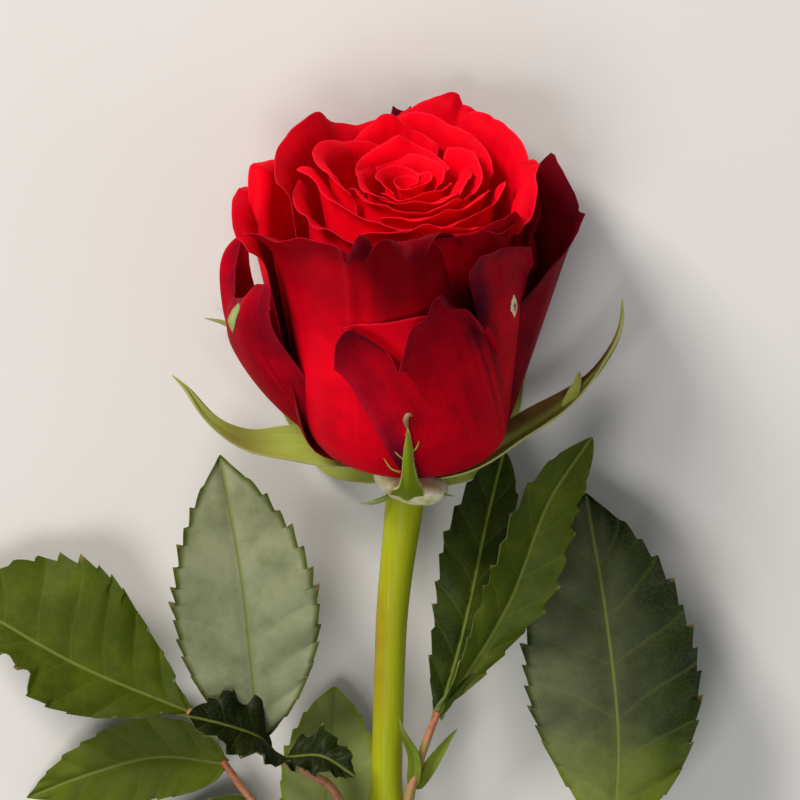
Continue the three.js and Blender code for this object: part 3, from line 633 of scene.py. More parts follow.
# The heart, from the outside in. Its petals are rolled round each other, and their rims fold outwards.
heartForm = {
    "root": 0.5, "rim": 3.6, "curl": 72, "lean": 4, "age": 0.02, "tuck": 0.8, "ripple": 0.12, "ragged": 0.15,
    "crease": 0.15, "pucker": 0.05, "rows": 26, "columns": 44,
}
heartStart = 0.55   # the petals' lower part is hidden, so they begin this far up
heartSeed = 40
heartPetals = [
    {"turn": -62, "spread": 36, "body": 15.6, "age": 0.3, "rim": 5,
     "edge": [(-1, 63), (-0.5, 62.5), (0, 62), (0.5, 62.5), (1, 60)]},
    {"turn": 40, "spread": 36, "body": 15.4, "age": 0.14, "rim": 4.5,
     "edge": [(-1, 61), (-0.5, 62.5), (0, 61.2), (0.5, 60.5), (1, 58)], "spouts": [(-0.5, 0.3, 0.8, 7)]},
    {"turn": 8, "spread": 40, "body": 13.6, "age": 0.1,
     "edge": [(-1, 59), (-0.4, 61.2), (0.3, 61.6), (1, 59.5)]},
    {"turn": -38, "spread": 52, "body": 12.4, "age": 0.22,
     "edge": [(-1, 65), (-0.9, 66), (-0.6, 64), (-0.2, 62.5), (0.3, 61), (0.8, 60.5), (1, 58)],
     "spouts": [(-0.92, 0.15, 2.5, 7)], "rolls": [(-0.92, 0.15, 60)]},
    {"turn": 45, "spread": 48, "body": 12, "age": 0.1,
     "edge": [(-1, 58), (-0.7, 60), (0, 60), (0.5, 60.5), (0.9, 61.5), (1, 60)]},
    {"turn": 148, "spread": 42, "body": 13, "age": 0.16, "curl": 45,
     "edge": [(-1, 61), (-0.6, 63.5), (0.1, 65.5), (0.7, 67), (1, 65)]},
    {"turn": -168, "spread": 34, "body": 11.6, "age": 0.04, "curl": 50,
     "edge": [(-1, 61.5), (-0.5, 63.5), (0, 66.5), (0.1, 66.6), (0.5, 64), (1, 61)]},
    {"turn": -105, "spread": 56, "body": 10, "flare": -1.5, "age": 0.12,
     "edge": [(-1, 61), (-0.5, 63.5), (0, 65), (0.4, 65), (0.8, 63), (1, 61)],
     "spouts": [(0.15, 0.35, 2, 7)]},
    {"turn": 28, "spread": 50, "body": 10.2, "age": 0.04,
     "edge": [(-1, 58.5), (-0.4, 60), (0.2, 60), (0.7, 61), (1, 59.5)]},
    {"turn": -10, "spread": 56, "body": 8.3,
     "edge": [(-1, 59), (-0.7, 60.5), (0, 59), (0.4, 58.8), (0.9, 60), (1, 59)]},
    {"turn": 105, "spread": 44, "body": 8.6, "edge": [(-1, 58), (-0.4, 60.5), (0.4, 61.5), (1, 60)]},
    {"turn": 80, "spread": 34, "body": 6.2, "curl": 110,
     "edge": [(-1, 56.5), (-0.5, 59), (0.2, 60), (0.7, 60), (1, 57.5)]},
    {"turn": -170, "spread": 78, "body": 4.6, "curl": 55, "crease": 0.05, "ragged": 0.05,
     "edge": [(-1, 57.5), (-0.5, 58.5), (-0.15, 60.2), (0.02, 61.2), (0.2, 60), (0.6, 59), (1, 57.5)]},
    {"turn": -80, "spread": 56, "body": 4.6, "crease": 0.05, "ragged": 0.05,
     "edge": [(-1, 57), (0, 58.4), (1, 57)]},
    {"turn": 8, "spread": 62, "body": 5.2, "crease": 0.05, "ragged": 0.05,
     "edge": [(-1, 57), (-0.5, 57.2), (0, 56.8), (0.5, 57.6), (1, 57)]},
    {"turn": 150, "spread": 80, "body": 3.4, "lean": 3, "curl": 62, "crease": 0.04, "ragged": 0.04,
     "pucker": 0, "edge": [(-1, 56), (-0.3, 57.6), (0.4, 57.8), (1, 56)]},
    {"turn": 20, "spread": 74, "body": 3.4, "lean": 3, "curl": 60, "crease": 0.04, "ragged": 0.04,
     "pucker": 0, "edge": [(-1, 55.5), (-0.3, 55.8), (0.5, 56.4), (1, 55.5)]},
    {"turn": -120, "spread": 95, "body": 2.3, "lean": 2, "curl": 55, "tuck": 1.1, "crease": 0.03,
     "ragged": 0.03, "pucker": 0, "ripple": 0, "edge": [(-1, 55.2), (-0.4, 56.6), (0.5, 57), (1, 55.6)]},
    {"turn": 45, "spread": 110, "body": 1.7, "lean": 1, "curl": 45, "tuck": 0.9, "crease": 0.02,
     "ragged": 0.03, "pucker": 0, "ripple": 0, "edge": [(-1, 54.8), (0, 55.6), (0.6, 56.2), (1, 55)]},
    {"turn": 180, "spread": 150, "body": 1.0, "lean": 0, "curl": 30, "tuck": 0.8, "crease": 0.01,
     "ragged": 0.02, "pucker": 0, "ripple": 0, "edge": [(-1, 54.6), (0, 55.4), (1, 54.8)]},
]

# Scar and green patch: dried petal skin that healed to pale cork, darker where it is torn, and a spot that
# stayed green. Both are matt and stand slightly proud.
petalSpots = {
    "scar": {
        "petal": "frontScarred", "across": 0.08, "along": 0.755, "width": 0.15, "height": 0.042, "point": 1.4,
        "middle": "#6e4230", "border": "#d9cba2",
    },
    "greenPatch": {
        "petal": "guardLeft", "across": 0.47, "along": 0.915, "width": 0.18, "height": 0.06, "point": 1.3,
        "middle": "#9a9a5c", "border": "#83904a",
    },
}
spotForm = {"columns": 15, "rows": 21, "proud": 0.22, "sunkenRim": 0.12, "uneven": 0.16, "thickness": 0.4}


def petalSpot(spot, petal):
    form = spotForm
    across, along = np.meshgrid(np.linspace(-1, 1, form["columns"]), np.linspace(-1, 1, form["rows"]))
    narrowing = 1 - 0.95 * np.abs(along) ** spot["point"]
    narrowing = narrowing + form["uneven"] * (1 - along ** 2) * waver(along * 5, 3)
    outline = spot["across"] + spot["width"] * across * narrowing, spot["along"] + spot["height"] * along
    grid = creasedPetal(petal, *outline)[0]
    far = np.maximum(np.abs(across), np.abs(along))
    grid = grid + gridNormals(grid) * (form["proud"] - form["sunkenRim"] * far ** 3)[..., None]
    return plateFrom(grid, form["thickness"], {"u": (across + 1) / 2, "v": (along + 1) / 2})


def spotMaterial(name, look):
    material, add, shader = newMaterial("dried petal skin, " + name, {"Roughness": 0.7})
    centred = add("Mapping", {
        "Vector": add("UVMap", uv_map="ownMap"), "Location": (-1, -1, 0), "Scale": (2, 2, 1),
    })
    far = add("VectorMath", [centred], out="Value", operation="LENGTH")
    torn = add("TexNoise", {"Vector": add("TexCoord", out="Object"), "Scale": 1 / (0.5 * mm), "Detail": 3})
    uneven = add("Math", [torn, 0.8, far], operation="MULTIPLY_ADD")
    part = add("MapRange", [uneven, 0.6, 0.95], **smoothly)
    setInputs(shader, {
        "Base Color": add("Mix", {0: part, 6: look["middle"], 7: look["border"]}, **inColour),
        "Normal": add("Bump", {"Height": torn, "Strength": 0.4, "Distance": 0.15 * mm}),
    })
    return material


def makeBloom():
    velvet = petalMaterial(petalSkin)
    outer = {name: {**petalForm, "seed": 7 * i, **outerPetals[name]} for i, name in enumerate(outerPetals)}
    heart = [
        {**petalForm, **heartForm, "seed": heartSeed + i, **petal} for i, petal in enumerate(heartPetals)
    ]
    for name, spot in petalSpots.items():
        mesh = makeMesh(name, [petalSpot(spot, outer[spot["petal"]])], spotMaterial(name, spot))
        addPiece("petal_" + name, mesh, "bloom")
    for name, petals, start in (("outer_petals", outer.values(), 0.0), ("heart_petals", heart, heartStart)):
        plates = [petalPlate(petal, start) for petal in petals]
        addPiece(name, makeMesh(name, plates, velvet), "bloom")


makeBloom()

# Blades: leaflets, sepals and stipules

# line: points along the midrib. face: which way the upper side looks. fold: how far each half is turned
# up from flat, in degrees. wave: how far the edge swings up and down. fullness, taper: the higher they are,
# the narrower the foot and the tip. tail: width that is added along the whole blade. uneven: how much wider
# the right half is. torn: (side, from, to, depth) of a missing strip.
bladeForm = {
    "fullness": 0.55, "taper": 1, "tail": 0, "fold": 8, "face": (0, 0, 1), "wave": 0, "waves": 2, "uneven": 0,
    "teeth": 0, "toothDepth": 0.03, "unevenTeeth": 0, "torn": (1, 0, 1, 0), "quilt": 0, "groove": 0,
    "seed": 0,
}
toothForm = {"margin": 0.4, "peak": 0.75, "bulge": 1.3, "uneven": 0.4, "lean": 0.045, "outwards": 2.2}
veins = {"pairs": 7, "lean": 1.15, "bend": 0.25}
bladeEnds = 0.002, 0.998   # the first and last row without teeth, as shares of the length
ribWidth = 0.8        # mm, over which a blade thins from its midrib
grooveWidth = 0.7     # mm


def veinPhase(s, far):
    # whole numbers lie on the side veins, which lean forward and bend towards the tip
    return s * veins["pairs"] - far * veins["lean"] + far * far * veins["bend"] + 0.5


def toothedEdge(blade, toothPlace, s, far):
    # how far the edge stands out at each point, as a share of the width, and the teeth alone
    part = toothPlace % 1
    peak = toothForm["peak"]
    rise = np.where(part < peak, (part / peak) ** toothForm["bulge"], (1 - part) / (1 - peak))
    size = 1 + toothForm["uneven"] * waver(np.floor(toothPlace) * 2.4, blade["seed"])
    onSides = smoothStep(s, 0.01, 0.12) * (1 - smoothStep(s, 0.8, 0.95))
    nearEdge = smoothStep(far, 0.78, 1) * onSides[:, None]
    tooth = (rise * size)[:, None] * nearEdge
    return 1 + blade["toothDepth"] * (toothForm["outwards"] * tooth - nearEdge), tooth


def tornAway(blade, s, across):
    # the share of the width that is left where a strip of the edge is torn off
    side, low, high, depth = blade["torn"]
    bite = smoothStep(s, low, low + 0.03) * (1 - smoothStep(s, high - 0.1, high))
    bite = bite * (1 + 0.2 * waver(s * 60, blade["seed"]))
    return 1 - depth * bite[:, None] * (side * across[None, :] > 0)


def bladeGrid(blade, across, s):
    teeth = blade["teeth"]
    toothPlace = s * (teeth + 2 * toothForm["margin"]) - toothForm["margin"]
    s = s + blade["unevenTeeth"] * waver(s * 24, blade["seed"]) * np.sin(np.pi * s)
    fullness, taper = blade["fullness"], blade["taper"]
    peak = fullness / (fullness + taper)
    full = peak ** fullness * (1 - peak) ** taper
    half = blade["width"] / 2 * s ** fullness * (1 - s) ** taper / full
    half = half + blade["tail"] / 2 * s ** 0.5 * (1 - s) ** 0.4
    centre = alongPath(blade["line"], s)
    ahead = unit(alongPath(blade["line"], s + 0.004) - alongPath(blade["line"], s - 0.004))
    side = unit(np.cross(ahead, np.broadcast_to(np.array(blade["face"], float), ahead.shape)))
    top = np.cross(side, ahead)
    far = np.abs(across)[None, :]
    out = np.ones((len(s), len(across)))
    tooth = 0 * out
    if teeth:
        out, tooth = toothedEdge(blade, toothPlace, s, far)
    out = out * tornAway(blade, s, across)
    reach = across[None, :] * out * half[:, None] * (1 + blade["uneven"] * np.sign(across))[None, :]
    lift = np.abs(reach) * math.sin(math.radians(blade["fold"]))
    phase = np.where(across > 0, 1.3, 0)[None, :]
    swing = blade["wave"] * far ** 2 * np.sin(blade["waves"] * 2 * np.pi * s[:, None] + phase)
    swing = swing * np.sin(np.pi * np.clip(s, 0, 1))[:, None]
    quilt = blade["quilt"] * (np.abs(np.sin(np.pi * veinPhase(s[:, None], far))) - 0.6) * far ** 0.5
    height = lift + swing + quilt - blade["groove"] * bump(reach, 0, grooveWidth)
    grid = centre[:, None] + side[:, None] * (reach * math.cos(math.radians(blade["fold"])))[..., None]
    forward = toothForm["lean"] * blade["width"] * tooth
    grid = grid + top[:, None] * height[..., None] + ahead[:, None] * forward[..., None]
    return grid, (1 - far) * half[:, None], np.abs(reach), tooth


def bladePlate(blade, numbers):
    t = np.linspace(-1, 1, blade["columns"])
    across = np.sign(t) * (1 - (1 - np.abs(t)) ** 1.25)
    rows, teeth, margin = blade["rows"], blade["teeth"], toothForm["margin"]
    s = np.linspace(*bladeEnds, rows)
    if teeth:
        # rows that follow the teeth, and a few more towards the foot and the tip
        s = (np.arange(teeth * rows + 1) / rows + margin) / (teeth + 2 * margin)
        foot = s[0] * np.array([0.02, 0.2, 0.5, 0.8])
        tip = 1 - s[0] * np.array([0.8, 0.5, 0.2, 0.04])
        s = np.concatenate([foot, s, tip])
    grid, edge, fromRib, tooth = bladeGrid(blade, across, s)
    rib = bump(fromRib, 0, ribWidth) * (1 - s[:, None]) ** 0.5
    thick = blade["thickness"] + (blade["ribThickness"] - blade["thickness"]) * rib
    thick = thick * (0.25 + 0.75 * smoothStep(1 - s, 0, 0.06))[:, None]
    return grid, plateFrom(grid, thick, {
        "u": (across + 1) / 2, "v": s[:, None], "edge": edge, "fromRib": fromRib, "tooth": tooth, **numbers,
    })


# Stem

# Green bark of a young rose stem, which grew smooth and waxy: a soft gloss, fine streaks along it, pale
# specks, and a brownish pink blush on the side that the sun reached.
stemBark = {
    "green": "#86900c", "light": "#a6ab18", "blush": "#8f6218", "speck": "#c3c873",
    "streak": 0.35, "cloud": 9, "speckSize": 1.3,   # mm
    "sockets": {
        "Roughness": 0.45, "Specular IOR Level": 0.12, "Subsurface Weight": 0.15,
        "Subsurface Radius": (0.5, 1.0, 0.15), "Subsurface Scale": 1.2 * mm,
    },
}
# Freshly cut stem: a thin green rind, a ring of pale wet wood and a white spongy pith, by place outwards.
cutStem = {
    "name": "fresh cut rose stem, wet wood and pith",
    "tints": [(0, "#ece9cf"), (0.34, "#ece9cf"), (0.42, "#c9c98a"), (0.82, "#c9c98a"), (0.9, "#86900c"),
              (1, "#86900c")],
    "grain": 0.25, "detail": 2, "relief": (0.3, 0.1), "sockets": {"Roughness": 0.5},
}
# Rose prickle: dry corky horn, greenish at its foot, then red and brown at its tip, with a slight gloss.
prickleHorn = {
    "name": "rose prickle, smooth horn",
    "tints": [(0, "#8d9a2c"), (0.25, "#a8603a"), (0.7, "#9c3c24"), (1, "#5a2614")],
    "grain": 0.5, "detail": 3, "relief": (0.25, 0.1), "sockets": {"Roughness": 0.38},
}
stemForm = {
    "length": 340, "topHeight": 14, "endHeight": 2.9, "steps": 260, "sides": 36,
    "bow": [(0, 0.9), (25, -1.6), (60, -2.4), (110, -2), (170, 0.2), (240, 2.6), (300, 2), (340, 1)],
    "taper": [(0, 3.4), (15, 2.9), (30, 2.7), (200, 2.8), (300, 2.9), (340, 2.88)],
    "nodes": [57, 73, 93, 109, 161, 216], "nodeReach": 3.2, "nodeSwelling": 0.55,
    "cutSlant": 1.0, "cutZone": 9, "capReach": 5,
    "blush": (28, 12, 0.75), "lowBlush": (120, 330, 0.35),
}
prickleForm = {
    "places": [(-128, -70), (-146, 40), (-188, 95), (-199, -35), (-238, -110), (-256, 60), (-279, -40),
               (-301, 75)],
    "length": 5.4, "base": 1.6, "hook": 3.4, "middle": (0.2, 0.55), "taper": 1.5, "tip": 0.06,
    "stretch": (1.7, 0.45, 1.0), "sink": 0.7, "seed": 5,
}


def barkMaterial(look):
    material, add, shader = newMaterial("green rose bark, smooth and waxy", look["sockets"])
    inPlace = add("TexCoord", out="Object")
    lengthwise = add("Mapping", {"Vector": inPlace, "Scale": (1, 0.05, 1)})
    fibres = add("TexNoise", {
        "Vector": lengthwise, "Scale": 1 / (look["streak"] * mm), "Detail": 3, "Roughness": 0.6,
    })
    cloudy = add("TexNoise", {"Vector": inPlace, "Scale": 1 / (look["cloud"] * mm), "Detail": 3})
    blush = add("Attribute", out="Fac", attribute_name="blush")
    sunny = add("MapRange", [add("SeparateXYZ", [add("TexCoord", out="Normal")]), 0.2, -0.8])
    sunBlush = add("Math", [blush, sunny], operation="MULTIPLY")
    clouds = add("Math", [cloudy, 1.9], operation="MULTIPLY")
    uneven = add("Math", [sunBlush, clouds], operation="MULTIPLY", use_clamp=True)
    specks = add("TexVoronoi", {"Vector": lengthwise, "Scale": 1 / (look["speckSize"] * mm)})
    isSpeck = add("MapRange", [specks, 0.05, 0.16, 0.5, 0])
    colour = look["green"]
    for cover, tint in ((fibres, "light"), (uneven, "blush"), (isSpeck, "speck")):
        colour = add("Mix", {0: cover, 6: colour, 7: look[tint]}, **inColour)
    relief = add("Bump", {"Height": fibres, "Strength": 0.25, "Distance": 0.12 * mm})
    setInputs(shader, {"Base Color": colour, "Normal": relief})
    return material


def stemPlace(down):
    form = stemForm
    fall = (form["topHeight"] - form["endHeight"]) / form["length"]
    return np.stack([throughPairs(form["bow"], down), -down, form["topHeight"] - down * fall], -1)


def stemRadius(down):
    swelling = sum(bump(down, node, stemForm["nodeReach"]) for node in stemForm["nodes"])
    return throughPairs(stemForm["taper"], down) + swelling * stemForm["nodeSwelling"]


def stemTree(material):
    # a tube along the line, with its far end cut off at a slant
    tree, add, inputs = newTree("stemTube", {
        "Sides": "Int", "Millimetre": "Float", "Cut Place": "Float", "Cut Height": "Float",
        "Cut Zone": "Float", "Slant": "Float",
    })
    skin = tubeSkin(add, inputs)
    place = add("SeparateXYZ", [add("GeometryNodeInputPosition")]).node.outputs
    zoneEnd = add("Math", [inputs["Cut Place"], inputs["Cut Zone"]], operation="ADD")
    nearCut = add("MapRange", [place["Y"], inputs["Cut Place"], zoneEnd, 1.0, 0.0])
    above = add("Math", [inputs["Cut Height"], place["Z"]], operation="SUBTRACT")
    shear = add("Math", [above, inputs["Slant"]], operation="MULTIPLY")
    slide = add("Math", [shear, nearCut], operation="MULTIPLY")
    offset = add("CombineXYZ", {"Y": slide})
    return finishTree(tree, add("GeometryNodeSetPosition", {"Geometry": skin, "Offset": offset}), material)


def prickleTree(material):
    # hooked horns on loose points, each standing out along outward and hooked back down the stem
    tree, add, inputs = newTree("prickles", {
        "Middle": "Vector", "Tip": "Vector", "Base": "Float", "Tip Radius": "Float", "Taper": "Float",
        "Stretch": "Vector", "Seed": "Int",
    })
    spine = add("GeometryNodeCurveQuadraticBezier", {
        "Resolution": 12, "Start": (0, 0, 0), "Middle": inputs["Middle"], "End": inputs["Tip"],
    })
    along = add("GeometryNodeSplineParameter")
    marked = add("GeometryNodeStoreNamedAttribute", {"Geometry": spine, "Name": "along", "Value": along},
                 data_type="FLOAT", domain="POINT")
    left = add("Math", [1.0, along], operation="SUBTRACT")
    taper = add("Math", [left, inputs["Taper"]], operation="POWER")
    width = add("Math", [taper, inputs["Base"], inputs["Tip Radius"]], operation="MULTIPLY_ADD")
    ring = add("GeometryNodeCurvePrimitiveCircle", {"Resolution": 14, "Radius": 1.0})
    horn = add("GeometryNodeCurveToMesh", {
        "Curve": marked, "Profile Curve": ring, "Scale": width, "Fill Caps": True,
    })
    thin = add("GeometryNodeTransform", {"Geometry": horn, "Scale": inputs["Stretch"]})
    outward = add("GeometryNodeInputNamedAttribute", {"Name": "outward"}, data_type="FLOAT_VECTOR")
    upright = add("FunctionNodeAlignRotationToVector", {"Vector": outward}, axis="Z")
    turned = add("FunctionNodeAlignRotationToVector", {"Rotation": upright, "Vector": (0, -1, 0)},
                 axis="X", pivot_axis="Z")
    size = add("FunctionNodeRandomValue", {2: 0.8, 3: 1.1, "Seed": inputs["Seed"]}, out=1,
               data_type="FLOAT")
    grown = add("GeometryNodeInstanceOnPoints", {
        "Points": inputs["Geometry"], "Instance": thin, "Rotation": turned, "Scale": size,
    })
    return finishTree(tree, grown, material)


def hornPlace(add, inPlace, grain):
    return add("Attribute", out="Fac", attribute_name="along")


def makeStemSkin():
    form = stemForm
    down = np.linspace(0, form["length"], form["steps"])
    place, width, strength = form["blush"]
    start, end, lowStrength = form["lowBlush"]
    blush = strength * bump(down, place, width) + lowStrength * smoothStep(down, start, end)
    source = lineMesh([stemPlace(down)], {"radius": [stemRadius(down)], "blush": [blush]})
    cut = (stemPlace(np.array([form["length"]]))[0] - restPoint) * mm
    radius = stemRadius(form["length"]) * mm

    def ringPlace(add, inPlace, grain):
        # how far a spot of the cut is from its middle, with 1 at its rim
        rings = add("Mapping", {
            "Vector": inPlace, "Location": (-cut[0] / radius, 0, -cut[2] / radius),
            "Scale": (1 / radius, 0, 1 / radius),
        })
        return add("VectorMath", [rings], out="Value", operation="LENGTH")

    skin = grow(stemTree(barkMaterial(stemBark)), source, {
        "Sides": form["sides"], "Millimetre": mm, "Cut Place": cut[1], "Cut Height": cut[2],
        "Cut Zone": form["cutZone"] * mm, "Slant": form["cutSlant"],
    })
    skin.materials.append(grainedMaterial(cutStem, ringPlace))
    for face in skin.polygons:
        isCap = len(face.vertices) == form["sides"]
        if isCap and abs(face.center.y - cut[1]) < form["capReach"] * mm:
            face.material_index = 1
    skin.set_sharp_from_angle(angle=math.radians(30))
    addPiece("stem_bark", skin, "stem")


def makePrickles():
    form = prickleForm
    places, turns = np.array(form["places"], float).T
    turns = np.radians(turns)
    out = np.stack([np.sin(turns), 0 * turns, np.cos(turns)], -1)
    feet = stemPlace(-places) + out * (stemRadius(-places)[:, None] - form["sink"])
    points = bpy.data.meshes.new("prickleFeet")
    points.from_pydata(((feet - restPoint) * mm).tolist(), [], [])
    giveNumbers(points, {"outward": out})
    hook, length = form["hook"] * mm, form["length"] * mm
    back, up = form["middle"]
    prickles = grow(prickleTree(grainedMaterial(prickleHorn, hornPlace)), points, {
        "Middle": (back * hook, 0.0, up * length), "Tip": (hook, 0.0, length), "Base": form["base"] * mm,
        "Tip Radius": form["tip"] * mm, "Taper": form["taper"], "Stretch": form["stretch"],
        "Seed": form["seed"],
    })
    addPiece("stem_prickles", prickles, "stem")


makeStemSkin()
makePrickles()

# Calyx

# brown: how brown the inside is. fade: the places along it where the brown comes and where it goes again.
# greenSide: how much of the brown the right half is spared, seen from above with the foot below.
sepals = {
    "left": {
        "line": [(-2.6, 4.6, 13.6), (-8.5, 7.2, 13.4), (-17, 9, 14.2), (-26, 10.2, 15.6),
            (-32.7, 14.4, 17.5), (-37.5, 21, 19), (-39.7, 22.9, 19)],
        "face": (-0.1, 0.7, 1), "width": 6.8, "fold": 24, "brown": 0.5, "fade": (0.5, 0.62),
    },
    "right": {
        "line": [(3, 2.8, 13.6), (11.5, 5.4, 13.4), (20.5, 10.6, 13.6), (28, 16, 14.6), (34.6, 23.4, 16),
            (38, 30, 17), (38.7, 36.2, 17)],
        "face": (-0.62, 0.6, 0.45), "width": 7.6, "fold": 26, "brown": 1.0, "fade": (0.1, 0.8),
        "greenSide": 0.9,
    },
    "front": {
        "line": [(1, 1.4, 16), (1.1, 2, 21), (1.3, 3.2, 27.5), (1.6, 6.6, 34.4), (1.5, 12, 37.6),
            (1.2, 18.6, 39)],
        "face": (0, 1, -0.9), "width": 6, "fold": 14, "brown": 0.4, "fade": (0.5, 0.9), "fullness": 0.5,
        "taper": 1.5, "tail": 0,
    },
    "behindLeft": {
        "line": [(-1, 2.6, 12), (-6, 3.2, 6.5), (-12, 5, 2.6), (-17.5, 12, 1.5), (-23.5, 21, 1.5),
            (-30, 28.6, 3), (-34.4, 30, 4.2)],
        "face": (0.1, 0.3, 1), "width": 6, "fold": 8, "brown": 0.2, "fade": (0.4, 0.7),
    },
    "behindRight": {
        "line": [(3, 2.6, 12), (7, 3, 6), (13, 4.6, 2.4), (18, 10, 1.5), (21, 18, 1.5), (21.5, 27, 1.7)],
        "face": (-0.1, 0.2, 1), "width": 6, "fold": 6, "brown": 0.2, "fade": (0.4, 0.7),
    },
    "rightLobe": {
        "line": [(28.4, 16.2, 15.2), (30.4, 19.4, 16.0), (31.2, 23.0, 15.8)], "face": (-0.5, 0.3, 1),
        "width": 2.0, "fold": 10, "brown": 0, "fade": (0.5, 0.6), "fullness": 0.7, "taper": 1.1,
        "tail": 0, "wave": 0.1,
    },
}
sepalForm = {
    "fullness": 1.1, "taper": 2.6, "tail": 1.3, "columns": 17, "rows": 90, "thickness": 0.35,
    "ribThickness": 0.9, "wave": 0.35, "waves": 2.5, "greenSide": 0,
    "browning": 0.12, "greening": 0.15, "greened": 0.6, "sideBorder": (-0.45, 0.05),
}
cupForm = {
    "axis": (0.32, 1, 0.12), "steps": 22, "sides": 40,
    "profile": [(-0.6, 3), (0.1, 3.4), (0.5, 4.4), (1.1, 5.6), (2, 6.4), (3.6, 6.8), (4.7, 5.8), (5.2, 3)],
}
fringeForm = {
    "spacing": 0.3, "length": 0.5, "radius": 0.03, "untidiness": 0.7, "seed": 3,
    "ends": (6, -2),   # the first and last row of a sepal that have hairs
}

# Thin side lobes of the sepals: half thickness at the foot, then the line, in mm
threads = [
    (0.17, [(0.0, 9.3, 36.0), (-1.5, 10.0, 36.4), (-2.8, 11.7, 35.8)]),
    (0.17, [(0.5, 11.9, 37.2), (-0.3, 12.6, 37.4), (-0.9, 13.2, 37.2)]),
    (0.17, [(2.2, 13.4, 37.8), (2.8, 14.0, 38.0), (3.3, 15.2, 38.0)]),
    (0.5, [(-2.2, 0.6, 17.0), (-4.6, -0.2, 17.4), (-7.0, -0.5, 17.0)]),
    (0.4, [(5.2, 1.6, 16.6), (7.4, 1.2, 17.2), (9.4, 0.8, 17.0)]),
]
threadForm = {"steps": 14, "sides": 8, "tip": 0.05}
sepalTip = {
    "line": [(1.2, 18.0, 38.9), (1.0, 19.3, 39.4), (1.4, 20.2, 39.7), (2.1, 20.0, 39.3)],
    "radii": [(0, 0.3), (0.45, 0.5), (0.75, 0.42), (1, 0.16)], "sides": 12,
}

# Rose sepal: a leafy blade, green outside with sunken veins and yellow-green to wine brown inside, downy,
# so it is matt and its rim catches the light as a pale line.
sepalSkin = {
    "outside": "#80930a", "outsideDark": "#4a5e08", "inside": "#b0b658", "insideVein": "#8d9a3a",
    "brown": "#6f5a2c", "wine": "#4a2416", "rim": "#c8be84",
    "down": 0.3, "cloud": 3.5,   # mm
    "veins": 16,   # across a sepal
    "sockets": {
        "Roughness": 0.6, "Specular IOR Level": 0.1, "Subsurface Weight": 0.12,
        "Subsurface Radius": (0.5, 0.8, 0.15), "Subsurface Scale": 0.8 * mm,
    },
}
# Calyx cup: the pale, waxy, whitish green skin where the sepals join, with short folds.
cupSkin = {
    "name": "calyx cup, pale waxy skin", "tints": [(0.3, "#b9b866"), (0.7, "#f6f0d2")],
    "grain": 2.5, "detail": 4, "relief": (0.4, 0.3),
    "sockets": {
        "Roughness": 0.5, "Subsurface Weight": 0.15, "Subsurface Radius": (0.6, 0.8, 0.3),
        "Subsurface Scale": 1.2 * mm,
    },
}
# Sepal fringe: fine stiff plant hairs, cream with a pink cast, a little glossy.
fringeHair = {
    "name": "plant hair, cream and glossy", "tints": [(0, "#ddd0a2"), (1, "#c4a478")],
    "grain": 1.5, "detail": 2, "sockets": {"Roughness": 0.4},
}
# Sepal lobes: thin soft green strands, matt.
lobeSkin = {
    "name": "sepal lobe, soft green", "tints": [(0, "#5f7a10"), (1, "#8f9a3c")],
    "grain": 0.8, "detail": 3, "relief": (0.4, 0.1), "sockets": {"Roughness": 0.6},
}
# The front sepal's curled end, which dried to brown paper, matt and uneven.
driedTip = {**lobeSkin, "name": "dried sepal tip, papery", "tints": [(0, "#5c4420"), (1, "#a58a58")]}


def sepalMaterial(look):
    material, add, shader = newMaterial("rose sepal, downy leaf skin", look["sockets"])
    inPlace = add("TexCoord", out="Object")
    names = "side", "edge", "brown"
    side, edge, brown = (add("Attribute", out="Fac", attribute_name=name) for name in names)
    stretched = add("Mapping", {"Vector": add("UVMap", uv_map="ownMap"), "Scale": (look["veins"], 1.5, 1)})
    fibres = add("TexNoise", {"Vector": stretched, "Scale": 1.0, "Detail": 3})
    down, cloudy = (
        add("TexNoise", {"Vector": inPlace, "Scale": 1 / (look[size] * mm), "Detail": 3})
        for size in ("down", "cloud")
    )
    outside, inside, tone = (
        add("Mix", {0: cover, 6: look[first], 7: look[second]}, **inColour) for cover, first, second in (
            (fibres, "outsideDark", "outside"), (fibres, "insideVein", "inside"), (cloudy, "brown", "wine"))
    )
    atRim = add("MapRange", [edge, 0.01, 0.14, 0.45, 0])
    colour = inside
    for cover, over in ((brown, tone), (side, outside), (atRim, look["rim"])):
        colour = add("Mix", {0: cover, 6: colour, 7: over}, **inColour)
    ribs = add("Bump", {"Height": fibres, "Strength": 0.4, "Distance": 0.2 * mm})
    relief = add("Bump", {"Height": down, "Strength": 0.3, "Distance": 0.08 * mm, "Normal": ribs})
    setInputs(shader, {"Base Color": colour, "Normal": relief})
    return material


